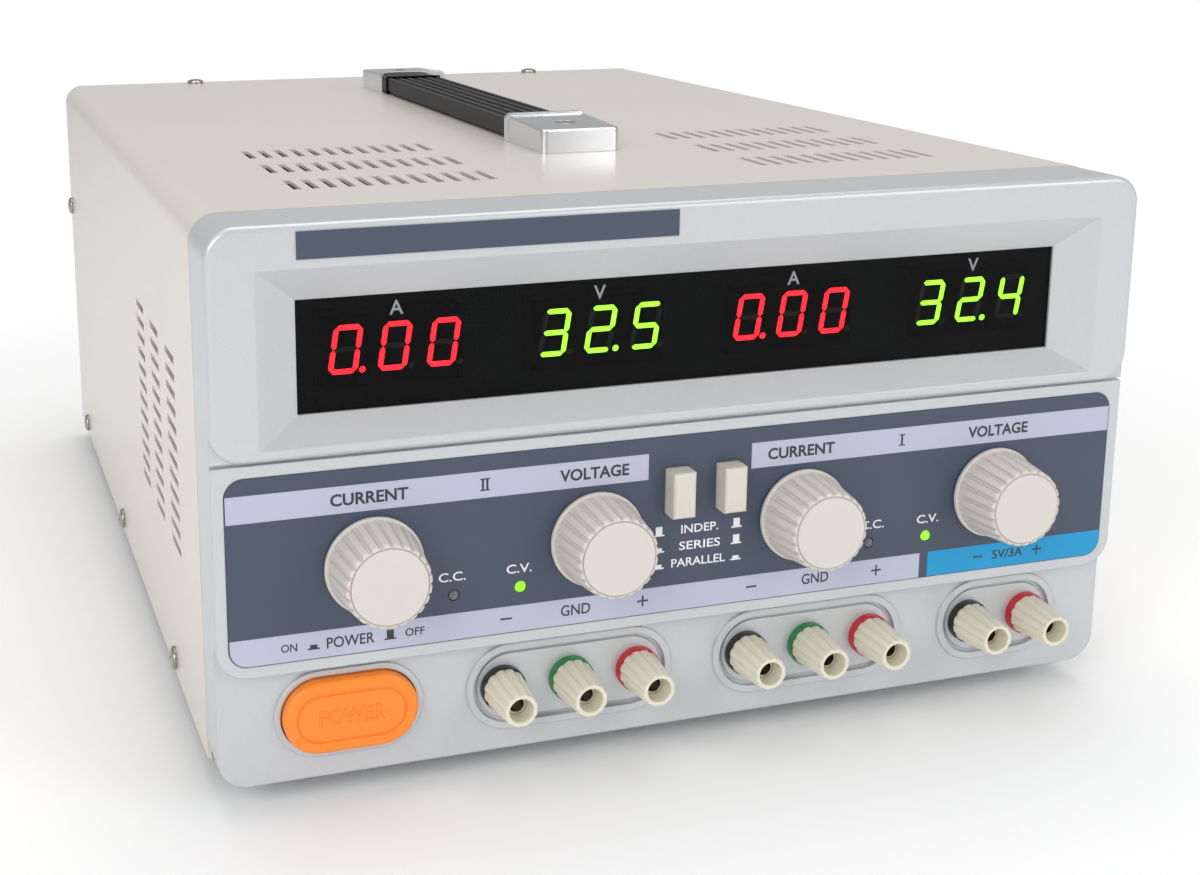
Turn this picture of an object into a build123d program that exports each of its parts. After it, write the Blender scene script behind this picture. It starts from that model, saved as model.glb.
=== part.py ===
from build123d import *
import os

os.makedirs("parts", exist_ok=True)

# Bench power supply: two adjustable outputs and one fixed output.
# X points right as seen from the front, the front faces -Y, and Z points up.
# The origin is the middle of the whole object's footprint, on the surface it stands on.

# Driving dimensions, in millimetres
case_width = 265.0
bezel_height = 148.0
cover_depth = 340.0
foot_height = 8.0

# Front moulding: how far each zone's face stands ahead of the joint with the cover
upper_depth = 22.3
middle_depth = 20.4
lower_depth = 16.6
lower_top = 31.8
upper_height = 59.2
bezel_wall = 3.0
bezel_corner = 8.0
bezel_edge = 1.6
shadow_gap = 0.9
shadow_depth = 1.3
bezel_lip = 6.0
lip_wall = 2.0
joint_gap = 0.6
overcut = 1.0

# Sheet metal
cover_sheet = 1.2
cover_corner = 7.0
cover_lift = 0.8
tray_sheet = 1.5
tray_flange = 16.0
tray_lip = 7.0
panel_sheet = 1.2
panel_flange = 13.0
panel_inset = 1.5
sheet_fit = 0.2

# Ventilation slots: fields of twelve by three
slot_pitch = 5.08
slot_row_pitch = 31.5
slot_count = 12
slot_rows = 3
slot_length = 17.0
slot_width = 2.2
top_vent_x = 70.0
top_vent_y = 69.9
side_vent_y = 76.0
side_vent_drop = 74.6

# Case screws
screw_head = 3.6
screw_head_height = 2.0
screw_head_taper = 20.0
screw_shank = 1.9
screw_length = 7.0
screw_hole_fit = 0.1
top_screw_side = 55.2
rear_screw_edge = 6.0
low_screw_z = 5.6
low_screw_front = 56.7
low_screw_middle = 156.4
low_screw_rear = 29.4
high_screw_drop = 51.1

# Feet
foot_radius = 9.0
foot_top_radius = 10.5
foot_side = 32.5
foot_end = 34.0
foot_bore = 4.2
foot_floor = 3.0

# Display window with its sloped frame
frame_side = 12.1
frame_head = 11.0
frame_height = 45.2
recess_depth = 6.0
window_seat = 0.8
frame_slope = 11.0
window_drop = 9.0
window_height = 29.4
window_lap = 4.0
window_thick = 2.5

# Numeral modules and their board
digit_rise = 14.8
module_margin = 6.6
module_width = 37.6
module_height = 19.0
module_thick = 8.0
board_thick = 1.6
meter_board_height = 40.0
boss_radius = 2.0

# Printed overlay on the middle zone
overlay_side = 3.1
overlay_foot = 3.0
overlay_head = 4.0
overlay_corner = 5.0
overlay_thick = 0.5
overlay_pocket = 0.3

# Name strip, left bare
strip_side = 22.5
strip_right = -9.5
strip_drop = 1.8
strip_height = 6.9
strip_thick = 0.4

# Control knobs
knob_side = 41.0
knob_drop = 1.8
knob_gap = 0.5
knob_length = 16.1
flange_radius = 13.1
flange_thick = 1.5
barrel_radius = 12.5
barrel_front_radius = 11.8
band_length = 3.6
shoulder = 1.3
cap_radius = 10.2
cap_seam = 0.3
flute_count = 24
flute_radius = 0.5
knob_wall = 1.8
hub_radius = 5.0
knob_web = 3.0

# Potentiometers behind the knobs
shaft_radius = 3.0
shaft_flat = 1.5
shaft_grip = 11.5
running_fit = 0.05
bushing_radius = 3.6
bushing_fit = 0.3
pot_radius = 8.0
pot_thick = 8.0
shaft_tail = 3.5

# Control board
control_board_y = 4.0
control_board_side = 6.5
control_board_foot = 3.2
control_board_head = 2.8
control_boss_inset = 4.0

# Tracking buttons
track_x = 7.5
track_drop = 15.3
track_width = 6.5
track_height = 12.7
track_proud = 6.0
track_travel = 3.5
track_back = 3.9
button_fit = 0.35
track_edge = 0.9
track_switch_width = 8.0
track_switch_height = 10.0
track_switch_depth = 8.5
track_stem = 3.0
track_stem_entry = 3.0

# Status lamps
lamp_offset = 9.2
lamp_rise = 12.7
lamp_radius = 1.5
lamp_proud = 0.7
lamp_dome = 1.2
lamp_flange = 1.9
lamp_flange_thick = 1.0
lamp_lead = 0.5
lamp_lead_pitch = 2.54

# Power button and its switch
power_x = -97.8
socket_row_z = 18.0
power_width = 36.0
power_height = 20.0
power_proud = 4.0
power_skirt = 12.0
power_wall = 1.8
power_face = 2.4
power_edge = 1.2
power_line_inset = 3.2
power_line_width = 0.7
power_line_depth = 0.3
ring_width = 1.6
ring_height = 1.0
power_stem_radius = 2.4
stem_entry = 6.0
stem_clear = 1.0
switch_width = 15.0
switch_height = 14.0
switch_depth = 26.0
switch_blade_pitch = 7.5
switch_blade_width = 4.8
switch_blade_thick = 0.8
switch_blade_length = 8.0
shelf_thick = 2.5
shelf_width = 22.0
shelf_root = 0.5
switch_front_lap = 6.0

# Terminals
group_x = (-36.0, 36.0, 98.0)
post_groups = (("black", "green", "red"), ("black", "green", "red"), ("black", "red"))
post_pitch = 19.5
surround_margin = 10.2
surround_height = 24.6
surround_rim = 2.0
surround_rise = 0.8
surround_groove = 1.1
surround_sink = 0.8
collar_radius = 6.2
collar_thick = 2.2
collar_sleeve = 4.0
sleeve_fit = 0.1
nut_length = 13.6
nut_base_radius = 5.7
nut_front_radius = 4.6
nut_flutes = 12
nut_flute_radius = 1.1
nut_flute_sink = 0.45
nut_mouth = 3.3
nut_mouth_depth = 4.2
stem_radius = 2.9
thread_fit = 0.07
socket_radius = 2.05
socket_depth = 10.6
stem_tail = 10.0
hex_nut_across = 10.0
hex_nut_thick = 2.5

# Carrying handle along the middle of the cover
handle_x = 0.8
handle_front_y = 73.0
handle_rear_y = 45.0
grip_cap_length = 34.0
grip_cap_width = 26.0
grip_cap_height = 8.6
grip_cap_low = 7.4
grip_cap_wall = 1.5
grip_cap_edge = 0.7
grip_corner = 2.0
grip_lip = 3.0
grip_lip_rise = 0.5
strap_width = 21.6
strap_lift = 0.9
strap_top = 6.0
strap_deck = 2.6
strap_inset = 5.2
strap_skirt = 2.0
strap_sweep = 16.0
strap_rib = 1.5
strap_rib_count = 6
strap_rib_height = 0.5
strap_dash_length = 6.0
strap_dash_count = 12
strap_dash_width = 1.6
strap_dash_depth = 0.8
strap_tongue_low = 2.4
strap_tongue_high = 4.8
strap_travel = 3.0
strap_body_entry = 6.0
grip_screw_y = 13.5
grip_seat = 7.0
grip_screw_radius = 3.2
grip_screw_height = 1.2
grip_post_radius = 3.0
grip_post_fit = 0.3

# Fan and its grille in the rear panel
fan_x = 58.0
fan_drop = 64.0
fan_size = 80.0
fan_depth = 25.0
fan_clear = 1.0
fan_corner = 4.0
duct_wall = 2.0
fan_hub_radius = 16.0
blade_count = 7
blade_clear = 1.5
blade_thick = 1.4
blade_chord = 19.0
blade_root = 3.0
blade_root_angle = 45.0
blade_tip_angle = 62.0
rotor_length = 19.5
bearing_radius = 1.5
fan_plate = 2.5
fan_strut = 5.0
grille_rings = 5
grille_slot = 3.6
grille_centre = 8.0
grille_spoke = 4.0
fan_hole_inset = 4.25
fan_hole_radius = 2.2

# Mains inlet with its fuse drawer
inlet_side = 44.5
inlet_z = 42.0
inlet_flange_width = 50.0
inlet_flange_height = 34.0
inlet_proud = 2.6
inlet_body_width = 28.0
inlet_body_height = 30.0
inlet_depth = 24.0
inlet_mouth_width = 24.4
inlet_mouth_height = 16.6
inlet_mouth_depth = 17.0
inlet_mouth_z = 4.2
inlet_bevel = 4.5
pin_width = 2.0
pin_height = 4.0
pin_length = 14.5
pin_spread = 7.0
pin_step = 2.0
drawer_width = 22.0
drawer_height = 7.0
drawer_z = -9.3
drawer_length = 20.0
drawer_fit = 0.3
drawer_lip = 1.2
drawer_wall = 1.4

# Voltage selector
selector_step = 48.0
selector_z = 42.0
selector_width = 22.0
selector_height = 11.0
selector_plate_width = 34.0
selector_plate_height = 14.0
selector_depth = 12.0
selector_plate = 1.2
selector_window_width = 16.0
selector_window_height = 7.0
selector_window_depth = 6.0
slider_width = 8.0
slider_fit = 0.3
slider_depth = 4.8
slider_groove = 1.2
slider_travel = 7.0

# Transformer on the tray
core_side = 70.5
core_rear = 128.0
core_width = 96.0
core_stack = 60.0
core_height = 80.0
core_leg = 16.0
coil_build = 15.5
coil_fit = 0.3
coil_corner = 8.0

# Heatsink with the pass transistors, ahead of the fan
sink_width = 96.0
sink_height = 112.0
sink_depth = 36.0
sink_base = 6.0
fin_count = 13
fin_thick = 1.6
sink_gap = 22.0
can_width = 15.5
can_height = 20.0
can_thick = 5.0
can_columns = 3
can_rows = 2
can_gap = 8.0

# Regulator board with the reservoir capacitors
board_side = 70.5
board_y = 110.0
board_width = 120.0
board_depth = 150.0
standoff_height = 8.0
standoff_radius = 3.0
standoff_inset = 6.0
can_cap_radius = 15.0
can_cap_height = 42.0
can_cap_pitch = 36.0
can_cap_count = 3

# Places worked out from the driving dimensions
front_reach = middle_depth + knob_gap + knob_length
rear_face = cover_depth - panel_inset
rear_reach = max(cover_depth, rear_face + inlet_proud + drawer_lip)
joint_y = (front_reach - rear_reach) / 2
base_z = foot_height
top_z = base_z + bezel_height
half_width = case_width / 2
middle_top = bezel_height - upper_height
frame_half_width = half_width - frame_side
frame_top = bezel_height - frame_head
frame_bottom = frame_top - frame_height
window_half_width = frame_half_width - frame_slope
window_top = frame_top - window_drop
window_bottom = window_top - window_height
digit_z = window_bottom + digit_rise
module_pitch = (window_half_width - module_margin - module_width / 2) / 1.5
overlay_half_width = half_width - overlay_side
overlay_bottom = lower_top + overlay_foot
overlay_top = middle_top - overlay_head
strip_left = strip_side - half_width
strip_top = bezel_height - strip_drop
strip_bottom = strip_top - strip_height
knob_pitch = 2 * (half_width - knob_side) / 3
knob_z = (lower_top + middle_top) / 2 - knob_drop
track_z = overlay_top - track_drop
lamp_z = overlay_bottom + lamp_rise
control_board_half = 1.5 * knob_pitch + pot_radius + control_board_side
control_board_bottom = overlay_bottom + control_board_foot
control_board_top = overlay_top - control_board_head
control_boss_x = control_board_half - control_boss_inset
upper_y = joint_y - upper_depth
panel_y = joint_y - middle_depth
lower_y = joint_y - lower_depth
window_y = upper_y + recess_depth
window_front_y = window_y + window_seat
upper_inner_y = window_front_y + window_thick
middle_inner_y = panel_y + bezel_wall
lower_inner_y = lower_y + bezel_wall
meter_board_y = upper_inner_y + module_thick
board_front_y = joint_y - control_board_y
window_mid_z = base_z + (window_bottom + window_top) / 2
overlay_back_y = panel_y + overlay_pocket
overlay_y = overlay_back_y - overlay_thick
meter_boss_x = window_half_width + window_lap + boss_radius + shelf_root
meter_board_half = meter_boss_x + boss_radius + shelf_root
inner_half = half_width - cover_sheet
lip_half = inner_half - joint_gap / 2
lip_top = top_z - cover_sheet - joint_gap / 2
lip_bottom = base_z + tray_sheet + joint_gap / 2
cover_front = joint_y + joint_gap
cover_rear = joint_y + cover_depth
cover_bottom = base_z + cover_lift
rear_y = joint_y + rear_face
rear_inner_y = rear_y - panel_sheet
rear_panel_top = top_z - cover_sheet - sheet_fit
rear_flange_bottom = base_z + tray_flange + sheet_fit
tray_half = inner_half - sheet_fit
tray_top = base_z + tray_sheet
tray_front = joint_y + joint_gap
tray_rear = rear_inner_y
tray_lip_y = joint_y + bezel_lip + joint_gap
rear_screw_y = joint_y + cover_depth - rear_screw_edge
top_screw_x = half_width - top_screw_side
side_vent_z = bezel_height - side_vent_drop
low_screw_steps = (low_screw_front, cover_depth - low_screw_middle, cover_depth - low_screw_rear)
side_screw_spots = [(joint_y + step, base_z + low_screw_z) for step in low_screw_steps]
side_screw_spots.append((rear_screw_y, base_z + bezel_height - high_screw_drop))
foot_x = half_width - foot_side
foot_spots = [(x, joint_y + y) for x in (-foot_x, foot_x) for y in (foot_end, cover_depth - foot_end)]
knob_spots = [step * knob_pitch for step in (-1.5, -0.5, 0.5, 1.5)]
track_spots = (-track_x, track_x)
current_lamp_spots = [-knob_pitch - lamp_offset, knob_pitch - lamp_offset]
voltage_lamp_spots = [-knob_pitch + lamp_offset, knob_pitch + lamp_offset]
group_widths = [(len(colours) - 1) * post_pitch + 2 * surround_margin for colours in post_groups]
post_spots = []
post_colours = []
for centre, colours in zip(group_x, post_groups):
    for step, colour in enumerate(colours):
        post_spots.append(centre + (step - (len(colours) - 1) / 2) * post_pitch)
        post_colours.append(colour)
collar_front_y = lower_y - collar_thick
nut_front_y = collar_front_y - nut_length
stem_front_y = nut_front_y + nut_mouth_depth
power_front_y = lower_y - power_proud
switch_y = power_front_y + power_skirt + stem_clear
handle_start = joint_y + handle_front_y
handle_end = joint_y + cover_depth - handle_rear_y
grip_seat_z = top_z + grip_seat
grip_screw_spots = (handle_start + grip_screw_y, handle_end - grip_screw_y)
fan_z = bezel_height - fan_drop
duct_radius = fan_size / 2 - duct_wall
blade_radius = duct_radius - blade_clear
grille_pitch = (duct_radius - grille_centre - grille_slot) / (grille_rings - 1)
fan_hole_pitch = fan_size - 2 * fan_hole_inset
inlet_x = inlet_side - half_width
selector_x = inlet_x + selector_step
core_x = core_side - half_width
core_y = cover_depth - core_rear
board_x = half_width - board_side


def facing(y):
    """Sketch plane parallel to the front: local x is X, local y is Z, it extrudes towards -Y."""
    return Plane(origin=(0, y, 0), x_dir=(1, 0, 0), z_dir=(0, -1, 0))


def facing_at(x, y, z):
    """The same plane with its origin at a point."""
    return Plane(origin=(x, y, z), x_dir=(1, 0, 0), z_dir=(0, -1, 0))


def across(x):
    """Sketch plane parallel to the left side: local x is Y, local y is Z, it extrudes towards +X."""
    return Plane(origin=(x, 0, 0), x_dir=(0, 1, 0), z_dir=(1, 0, 0))


def keep(piece, label):
    """Name a finished piece and write it."""
    piece.part.label = label
    export_step(piece.part, f"parts/{label}.step")


# Front moulding
with BuildPart() as front_bezel:
    with BuildSketch(facing(joint_y)):
        with Locations((0, base_z + bezel_height / 2)):
            RectangleRounded(case_width, bezel_height, bezel_corner)
    extrude(amount=lower_depth)
    with BuildSketch(facing(lower_y)):
        with Locations((0, base_z + (lower_top + bezel_height) / 2)):
            RectangleRounded(case_width, bezel_height - lower_top, bezel_corner)
    extrude(amount=middle_depth - lower_depth)
    with BuildSketch(facing(panel_y)):
        with Locations((0, base_z + (middle_top + bezel_height) / 2)):
            RectangleRounded(case_width, bezel_height - middle_top, bezel_corner)
    extrude(amount=upper_depth - middle_depth)
    fillet(front_bezel.faces().filter_by(Axis.Y).group_by(Axis.Y)[0].edges(), bezel_edge)
    # Shadow gap under the upper block
    with BuildSketch(facing(panel_y + shadow_depth)):
        with Locations((0, base_z + middle_top - shadow_gap / 2)):
            Rectangle(case_width + 2 * overcut, shadow_gap)
    extrude(amount=shadow_depth + overcut, mode=Mode.SUBTRACT)
    # Sloped frame round the window
    with BuildSketch(facing(upper_y)):
        with Locations((0, base_z + (frame_bottom + frame_top) / 2)):
            Rectangle(2 * frame_half_width, frame_top - frame_bottom)
    with BuildSketch(facing(window_y)):
        with Locations((0, window_mid_z)):
            Rectangle(2 * window_half_width, window_height)
    loft(mode=Mode.SUBTRACT)
    # Hollow behind each zone
    for low, high, inner_y in ((frame_bottom, bezel_height - bezel_wall, upper_inner_y),
                               (lower_top + bezel_wall, middle_top - bezel_wall, middle_inner_y),
                               (bezel_wall, lower_top, lower_inner_y)):
        with BuildSketch(facing(joint_y)):
            with Locations((0, base_z + (low + high) / 2)):
                RectangleRounded(case_width - 2 * bezel_wall, high - low, bezel_corner / 2)
        extrude(amount=joint_y - inner_y, mode=Mode.SUBTRACT)
    # Window opening, with a pocket that takes the window from behind
    with BuildSketch(facing(upper_inner_y)):
        with Locations((0, window_mid_z)):
            Rectangle(2 * window_half_width, window_height)
    extrude(amount=upper_inner_y - window_y, mode=Mode.SUBTRACT)
    with BuildSketch(facing(upper_inner_y)):
        with Locations((0, window_mid_z)):
            Rectangle(2 * (window_half_width + window_lap), window_height + 2 * window_lap)
    extrude(amount=window_thick, mode=Mode.SUBTRACT)
    # Seat for the printed overlay
    with BuildSketch(facing(panel_y)):
        with Locations((0, base_z + (overlay_bottom + overlay_top) / 2)):
            RectangleRounded(2 * overlay_half_width, overlay_top - overlay_bottom, overlay_corner)
    extrude(amount=-overlay_pocket, mode=Mode.SUBTRACT)
    # Holes for the shafts, tracking buttons and lamps
    with BuildSketch(facing(middle_inner_y)):
        with Locations(*[(x, base_z + knob_z) for x in knob_spots]):
            Circle(bushing_radius + bushing_fit)
        with Locations(*[(x, base_z + track_z) for x in track_spots]):
            Rectangle(track_width + 2 * button_fit, track_height + 2 * button_fit)
        with Locations(*[(x, base_z + lamp_z) for x in current_lamp_spots + voltage_lamp_spots]):
            Circle(lamp_radius + sleeve_fit)
    extrude(amount=bezel_wall, mode=Mode.SUBTRACT)
    # Raised rim, groove and inner floor round each group of terminals
    for centre, group_width in zip(group_x, group_widths):
        inner_width = group_width - 2 * surround_rim
        inner_height = surround_height - 2 * surround_rim
        with BuildSketch(facing_at(centre, lower_y, base_z + socket_row_z)):
            SlotOverall(group_width, surround_height)
        extrude(amount=surround_rise)
        with BuildSketch(facing_at(centre, lower_y - surround_rise, base_z + socket_row_z)):
            SlotOverall(inner_width, inner_height)
        extrude(amount=-surround_rise - surround_sink, mode=Mode.SUBTRACT)
        with BuildSketch(facing_at(centre, lower_y + surround_sink, base_z + socket_row_z)):
            SlotOverall(inner_width - 2 * surround_groove, inner_height - 2 * surround_groove)
        extrude(amount=surround_sink)
    with BuildSketch(facing(lower_inner_y)):
        with Locations(*[(x, base_z + socket_row_z) for x in post_spots]):
            Circle(collar_sleeve + sleeve_fit)
    extrude(amount=bezel_wall, mode=Mode.SUBTRACT)
    # Ring and opening for the power button, with the shelf that carries its switch
    with BuildSketch(facing_at(power_x, lower_y, base_z + socket_row_z)):
        SlotOverall(power_width + 2 * (button_fit + ring_width), power_height + 2 * (button_fit + ring_width))
    extrude(amount=ring_height)
    with BuildSketch(facing_at(power_x, lower_inner_y, base_z + socket_row_z)):
        SlotOverall(power_width + 2 * button_fit, power_height + 2 * button_fit)
    extrude(amount=bezel_wall + ring_height, mode=Mode.SUBTRACT)
    with BuildSketch(facing_at(power_x, switch_y + switch_depth, base_z + socket_row_z)):
        with Locations((0, -(switch_height + shelf_thick) / 2)):
            Rectangle(shelf_width, shelf_thick)
    extrude(amount=switch_depth)
    with BuildSketch(facing_at(power_x, switch_y + switch_front_lap, base_z)):
        with Locations((0, (socket_row_z - switch_height / 2 - shelf_thick + bezel_wall) / 2)):
            Rectangle(shelf_width, socket_row_z - switch_height / 2 - shelf_thick - bezel_wall + 2 * shelf_root)
    extrude(amount=switch_front_lap)
    # Bosses for the two boards
    with BuildSketch(facing(meter_board_y)):
        with Locations((-meter_boss_x, base_z + digit_z), (meter_boss_x, base_z + digit_z)):
            Circle(boss_radius)
    extrude(amount=meter_board_y - upper_inner_y)
    with BuildSketch(facing(board_front_y)):
        with Locations((0, base_z + (control_board_bottom + control_board_top) / 2)):
            with GridLocations(2 * control_boss_x, control_board_top - control_board_bottom
                               - 2 * control_boss_inset, 2, 2):
                Circle(boss_radius)
    extrude(amount=board_front_y - middle_inner_y)
    # Lip that slips inside the cover
    with BuildSketch(facing(joint_y)):
        with Locations((0, (lip_bottom + lip_top) / 2)):
            RectangleRounded(2 * lip_half, lip_top - lip_bottom, cover_corner - cover_sheet)
            RectangleRounded(2 * (lip_half - lip_wall), lip_top - lip_bottom - 2 * lip_wall,
                             cover_corner - cover_sheet - lip_wall, mode=Mode.SUBTRACT)
    extrude(amount=-bezel_lip)
keep(front_bezel, "front_bezel")

# Folded cover with its fields of slots
with BuildPart() as top_cover:
    with BuildSketch(facing(cover_front)):
        with Locations((0, (cover_bottom + top_z) / 2)):
            Rectangle(case_width, top_z - cover_bottom)
        fillet(vertices().group_by(Axis.Y)[-1], cover_corner)
    extrude(amount=cover_front - cover_rear)
    with BuildSketch(facing(cover_front)):
        with Locations((0, (cover_bottom + top_z - cover_sheet) / 2)):
            Rectangle(2 * inner_half, top_z - cover_sheet - cover_bottom)
        fillet(vertices().group_by(Axis.Y)[-1], cover_corner - cover_sheet)
    extrude(amount=cover_front - cover_rear, mode=Mode.SUBTRACT)
    with BuildSketch(Plane.XY.offset(top_z - 2 * cover_sheet)):
        for field in (-top_vent_x, top_vent_x):
            with Locations((field, joint_y + top_vent_y)):
                with GridLocations(slot_pitch, slot_row_pitch, slot_count, slot_rows):
                    Rectangle(slot_width, slot_length)
        with Locations(*[(x, rear_screw_y) for x in (-top_screw_x, top_screw_x)]):
            Circle(screw_shank + screw_hole_fit)
        with Locations(*[(handle_x, y) for y in grip_screw_spots]):
            Circle(screw_shank + screw_hole_fit)
    extrude(amount=3 * cover_sheet, mode=Mode.SUBTRACT)
    with BuildSketch(Plane.YZ.offset(-half_width - overcut)):
        with Locations((joint_y + side_vent_y, base_z + side_vent_z)):
            with GridLocations(slot_row_pitch, slot_pitch, slot_rows, slot_count):
                Rectangle(slot_length, slot_width)
        with Locations(*side_screw_spots):
            Circle(screw_shank + screw_hole_fit)
    extrude(amount=case_width + 2 * overcut, mode=Mode.SUBTRACT)
keep(top_cover, "top_cover")

# Folded tray under everything
with BuildPart() as chassis_tray:
    with BuildSketch(Plane.XY.offset(base_z)):
        with Locations((0, (tray_front + tray_rear) / 2)):
            Rectangle(2 * tray_half, tray_rear - tray_front)
    extrude(amount=tray_sheet)
    with BuildSketch(Plane.XY.offset(tray_top)):
        for side in (-1, 1):
            with Locations((side * (tray_half - tray_sheet / 2), (tray_lip_y + tray_rear) / 2)):
                Rectangle(tray_sheet, tray_rear - tray_lip_y)
    extrude(amount=tray_flange - tray_sheet)
    with BuildSketch(Plane.XY.offset(tray_top)):
        with Locations((0, tray_lip_y + tray_sheet / 2)):
            Rectangle(2 * tray_half, tray_sheet)
    extrude(amount=tray_lip - tray_sheet)
    with BuildSketch(Plane.XY.offset(base_z)):
        with Locations(*foot_spots):
            Circle(screw_shank + screw_hole_fit)
    extrude(amount=tray_sheet, mode=Mode.SUBTRACT)
    with BuildSketch(Plane.YZ.offset(-half_width)):
        with Locations(*side_screw_spots[:-1]):
            Circle(screw_shank + screw_hole_fit)
    extrude(amount=case_width, mode=Mode.SUBTRACT)
    with BuildSketch(Plane(origin=(board_x, joint_y + board_y, tray_top))):
        with GridLocations(board_width - 2 * standoff_inset, board_depth - 2 * standoff_inset, 2, 2):
            Circle(standoff_radius)
    extrude(amount=standoff_height)
keep(chassis_tray, "chassis_tray")

# Rear panel: flanges for the cover's screws, punched fan grille and two cut-outs
with BuildPart() as rear_panel:
    with BuildSketch(facing(rear_y)):
        with Locations((0, (base_z + rear_panel_top) / 2)):
            Rectangle(2 * tray_half, rear_panel_top - base_z)
        fillet(vertices().group_by(Axis.Y)[-1], cover_corner - cover_sheet)
    extrude(amount=panel_sheet)
    with BuildSketch(facing(rear_inner_y)):
        with Locations((0, (rear_flange_bottom + rear_panel_top) / 2)):
            Rectangle(2 * tray_half, rear_panel_top - rear_flange_bottom)
        fillet(vertices().group_by(Axis.Y)[-1], cover_corner - cover_sheet)
    extrude(amount=panel_flange)
    with BuildSketch(facing(rear_inner_y)):
        with Locations((0, (rear_flange_bottom + rear_panel_top - panel_sheet) / 2)):
            Rectangle(2 * (tray_half - panel_sheet), rear_panel_top - panel_sheet - rear_flange_bottom)
        fillet(vertices().group_by(Axis.Y)[-1], cover_corner - cover_sheet - panel_sheet)
    extrude(amount=panel_flange, mode=Mode.SUBTRACT)
    with BuildSketch(facing_at(fan_x, rear_y, base_z + fan_z)):
        for ring in reversed(range(grille_rings)):
            inner = grille_centre + ring * grille_pitch
            Circle(inner + grille_slot)
            Circle(inner, mode=Mode.SUBTRACT)
        Rectangle(2 * duct_radius, grille_spoke, rotation=45, mode=Mode.SUBTRACT)
        Rectangle(2 * duct_radius, grille_spoke, rotation=-45, mode=Mode.SUBTRACT)
        with GridLocations(fan_hole_pitch, fan_hole_pitch, 2, 2):
            Circle(fan_hole_radius)
    extrude(amount=panel_sheet, mode=Mode.SUBTRACT)
    with BuildSketch(facing(rear_y)):
        with Locations((inlet_x, base_z + inlet_z)):
            Rectangle(inlet_body_width + 2 * sheet_fit, inlet_body_height + 2 * sheet_fit)
        with Locations((selector_x, base_z + selector_z)):
            Rectangle(selector_width + 2 * sheet_fit, selector_height + 2 * sheet_fit)
    extrude(amount=panel_sheet, mode=Mode.SUBTRACT)
    with BuildSketch(Plane.YZ.offset(-half_width)):
        with Locations(*side_screw_spots[-1:]):
            Circle(screw_shank + screw_hole_fit)
    extrude(amount=case_width, mode=Mode.SUBTRACT)
    with BuildSketch(Plane.XY.offset(rear_panel_top - 2 * panel_sheet)):
        with Locations(*[(x, rear_screw_y) for x in (-top_screw_x, top_screw_x)]):
            Circle(screw_shank + screw_hole_fit)
    extrude(amount=3 * panel_sheet, mode=Mode.SUBTRACT)
keep(rear_panel, "rear_panel")

# Pan-head screws that hold the cover: four on each side and two on top
with BuildPart() as case_screws:
    for side in (-1, 1):
        for y, z in side_screw_spots:
            with BuildSketch(Plane(origin=(side * half_width, y, z), x_dir=(0, 1, 0), z_dir=(side, 0, 0))):
                Circle(screw_head)
            extrude(amount=screw_head_height, taper=screw_head_taper)
            with BuildSketch(Plane(origin=(side * half_width, y, z), x_dir=(0, 1, 0), z_dir=(side, 0, 0))):
                Circle(screw_shank)
            extrude(amount=-screw_length)
        with BuildSketch(Plane(origin=(side * top_screw_x, rear_screw_y, top_z))):
            Circle(screw_head)
        extrude(amount=screw_head_height, taper=screw_head_taper)
        with BuildSketch(Plane(origin=(side * top_screw_x, rear_screw_y, top_z))):
            Circle(screw_shank)
        extrude(amount=-screw_length)
keep(case_screws, "case_screws")

# Rubber feet, hollow from below, and the screws that hold them
with BuildPart() as feet:
    for x, y in foot_spots:
        with BuildSketch(Plane(origin=(x, y, 0))):
            Circle(foot_radius)
        with BuildSketch(Plane(origin=(x, y, base_z))):
            Circle(foot_top_radius)
        loft()
        with BuildSketch(Plane(origin=(x, y, 0))):
            Circle(foot_bore)
        extrude(amount=base_z - foot_floor, mode=Mode.SUBTRACT)
        with BuildSketch(Plane(origin=(x, y, 0))):
            Circle(screw_shank + screw_hole_fit)
        extrude(amount=base_z, mode=Mode.SUBTRACT)
keep(feet, "feet")

with BuildPart() as foot_screws:
    for x, y in foot_spots:
        with BuildSketch(Plane(origin=(x, y, base_z - foot_floor))):
            Circle(screw_head)
        extrude(amount=-screw_head_height, taper=screw_head_taper)
        with BuildSketch(Plane(origin=(x, y, base_z - foot_floor))):
            Circle(screw_shank)
        extrude(amount=screw_length)
keep(foot_screws, "foot_screws")

# Smoked window
with BuildPart() as display_window:
    with BuildSketch(facing(upper_inner_y)):
        with Locations((0, window_mid_z)):
            Rectangle(2 * (window_half_width + window_lap - sheet_fit),
                      window_height + 2 * (window_lap - sheet_fit))
    extrude(amount=window_thick)
keep(display_window, "display_window")

# Numeral modules: current in the first and third place, voltage in the others
for label, places in (("current_displays", (-1.5, 0.5)), ("voltage_displays", (-0.5, 1.5))):
    with BuildPart() as displays:
        with BuildSketch(facing(meter_board_y)):
            with Locations(*[(place * module_pitch, base_z + digit_z) for place in places]):
                Rectangle(module_width, module_height)
        extrude(amount=module_thick)
    keep(displays, label)

with BuildPart() as meter_board:
    with BuildSketch(facing(meter_board_y)):
        with Locations((0, base_z + digit_z)):
            Rectangle(2 * meter_board_half, meter_board_height)
    extrude(amount=-board_thick)
keep(meter_board, "meter_board")

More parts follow.
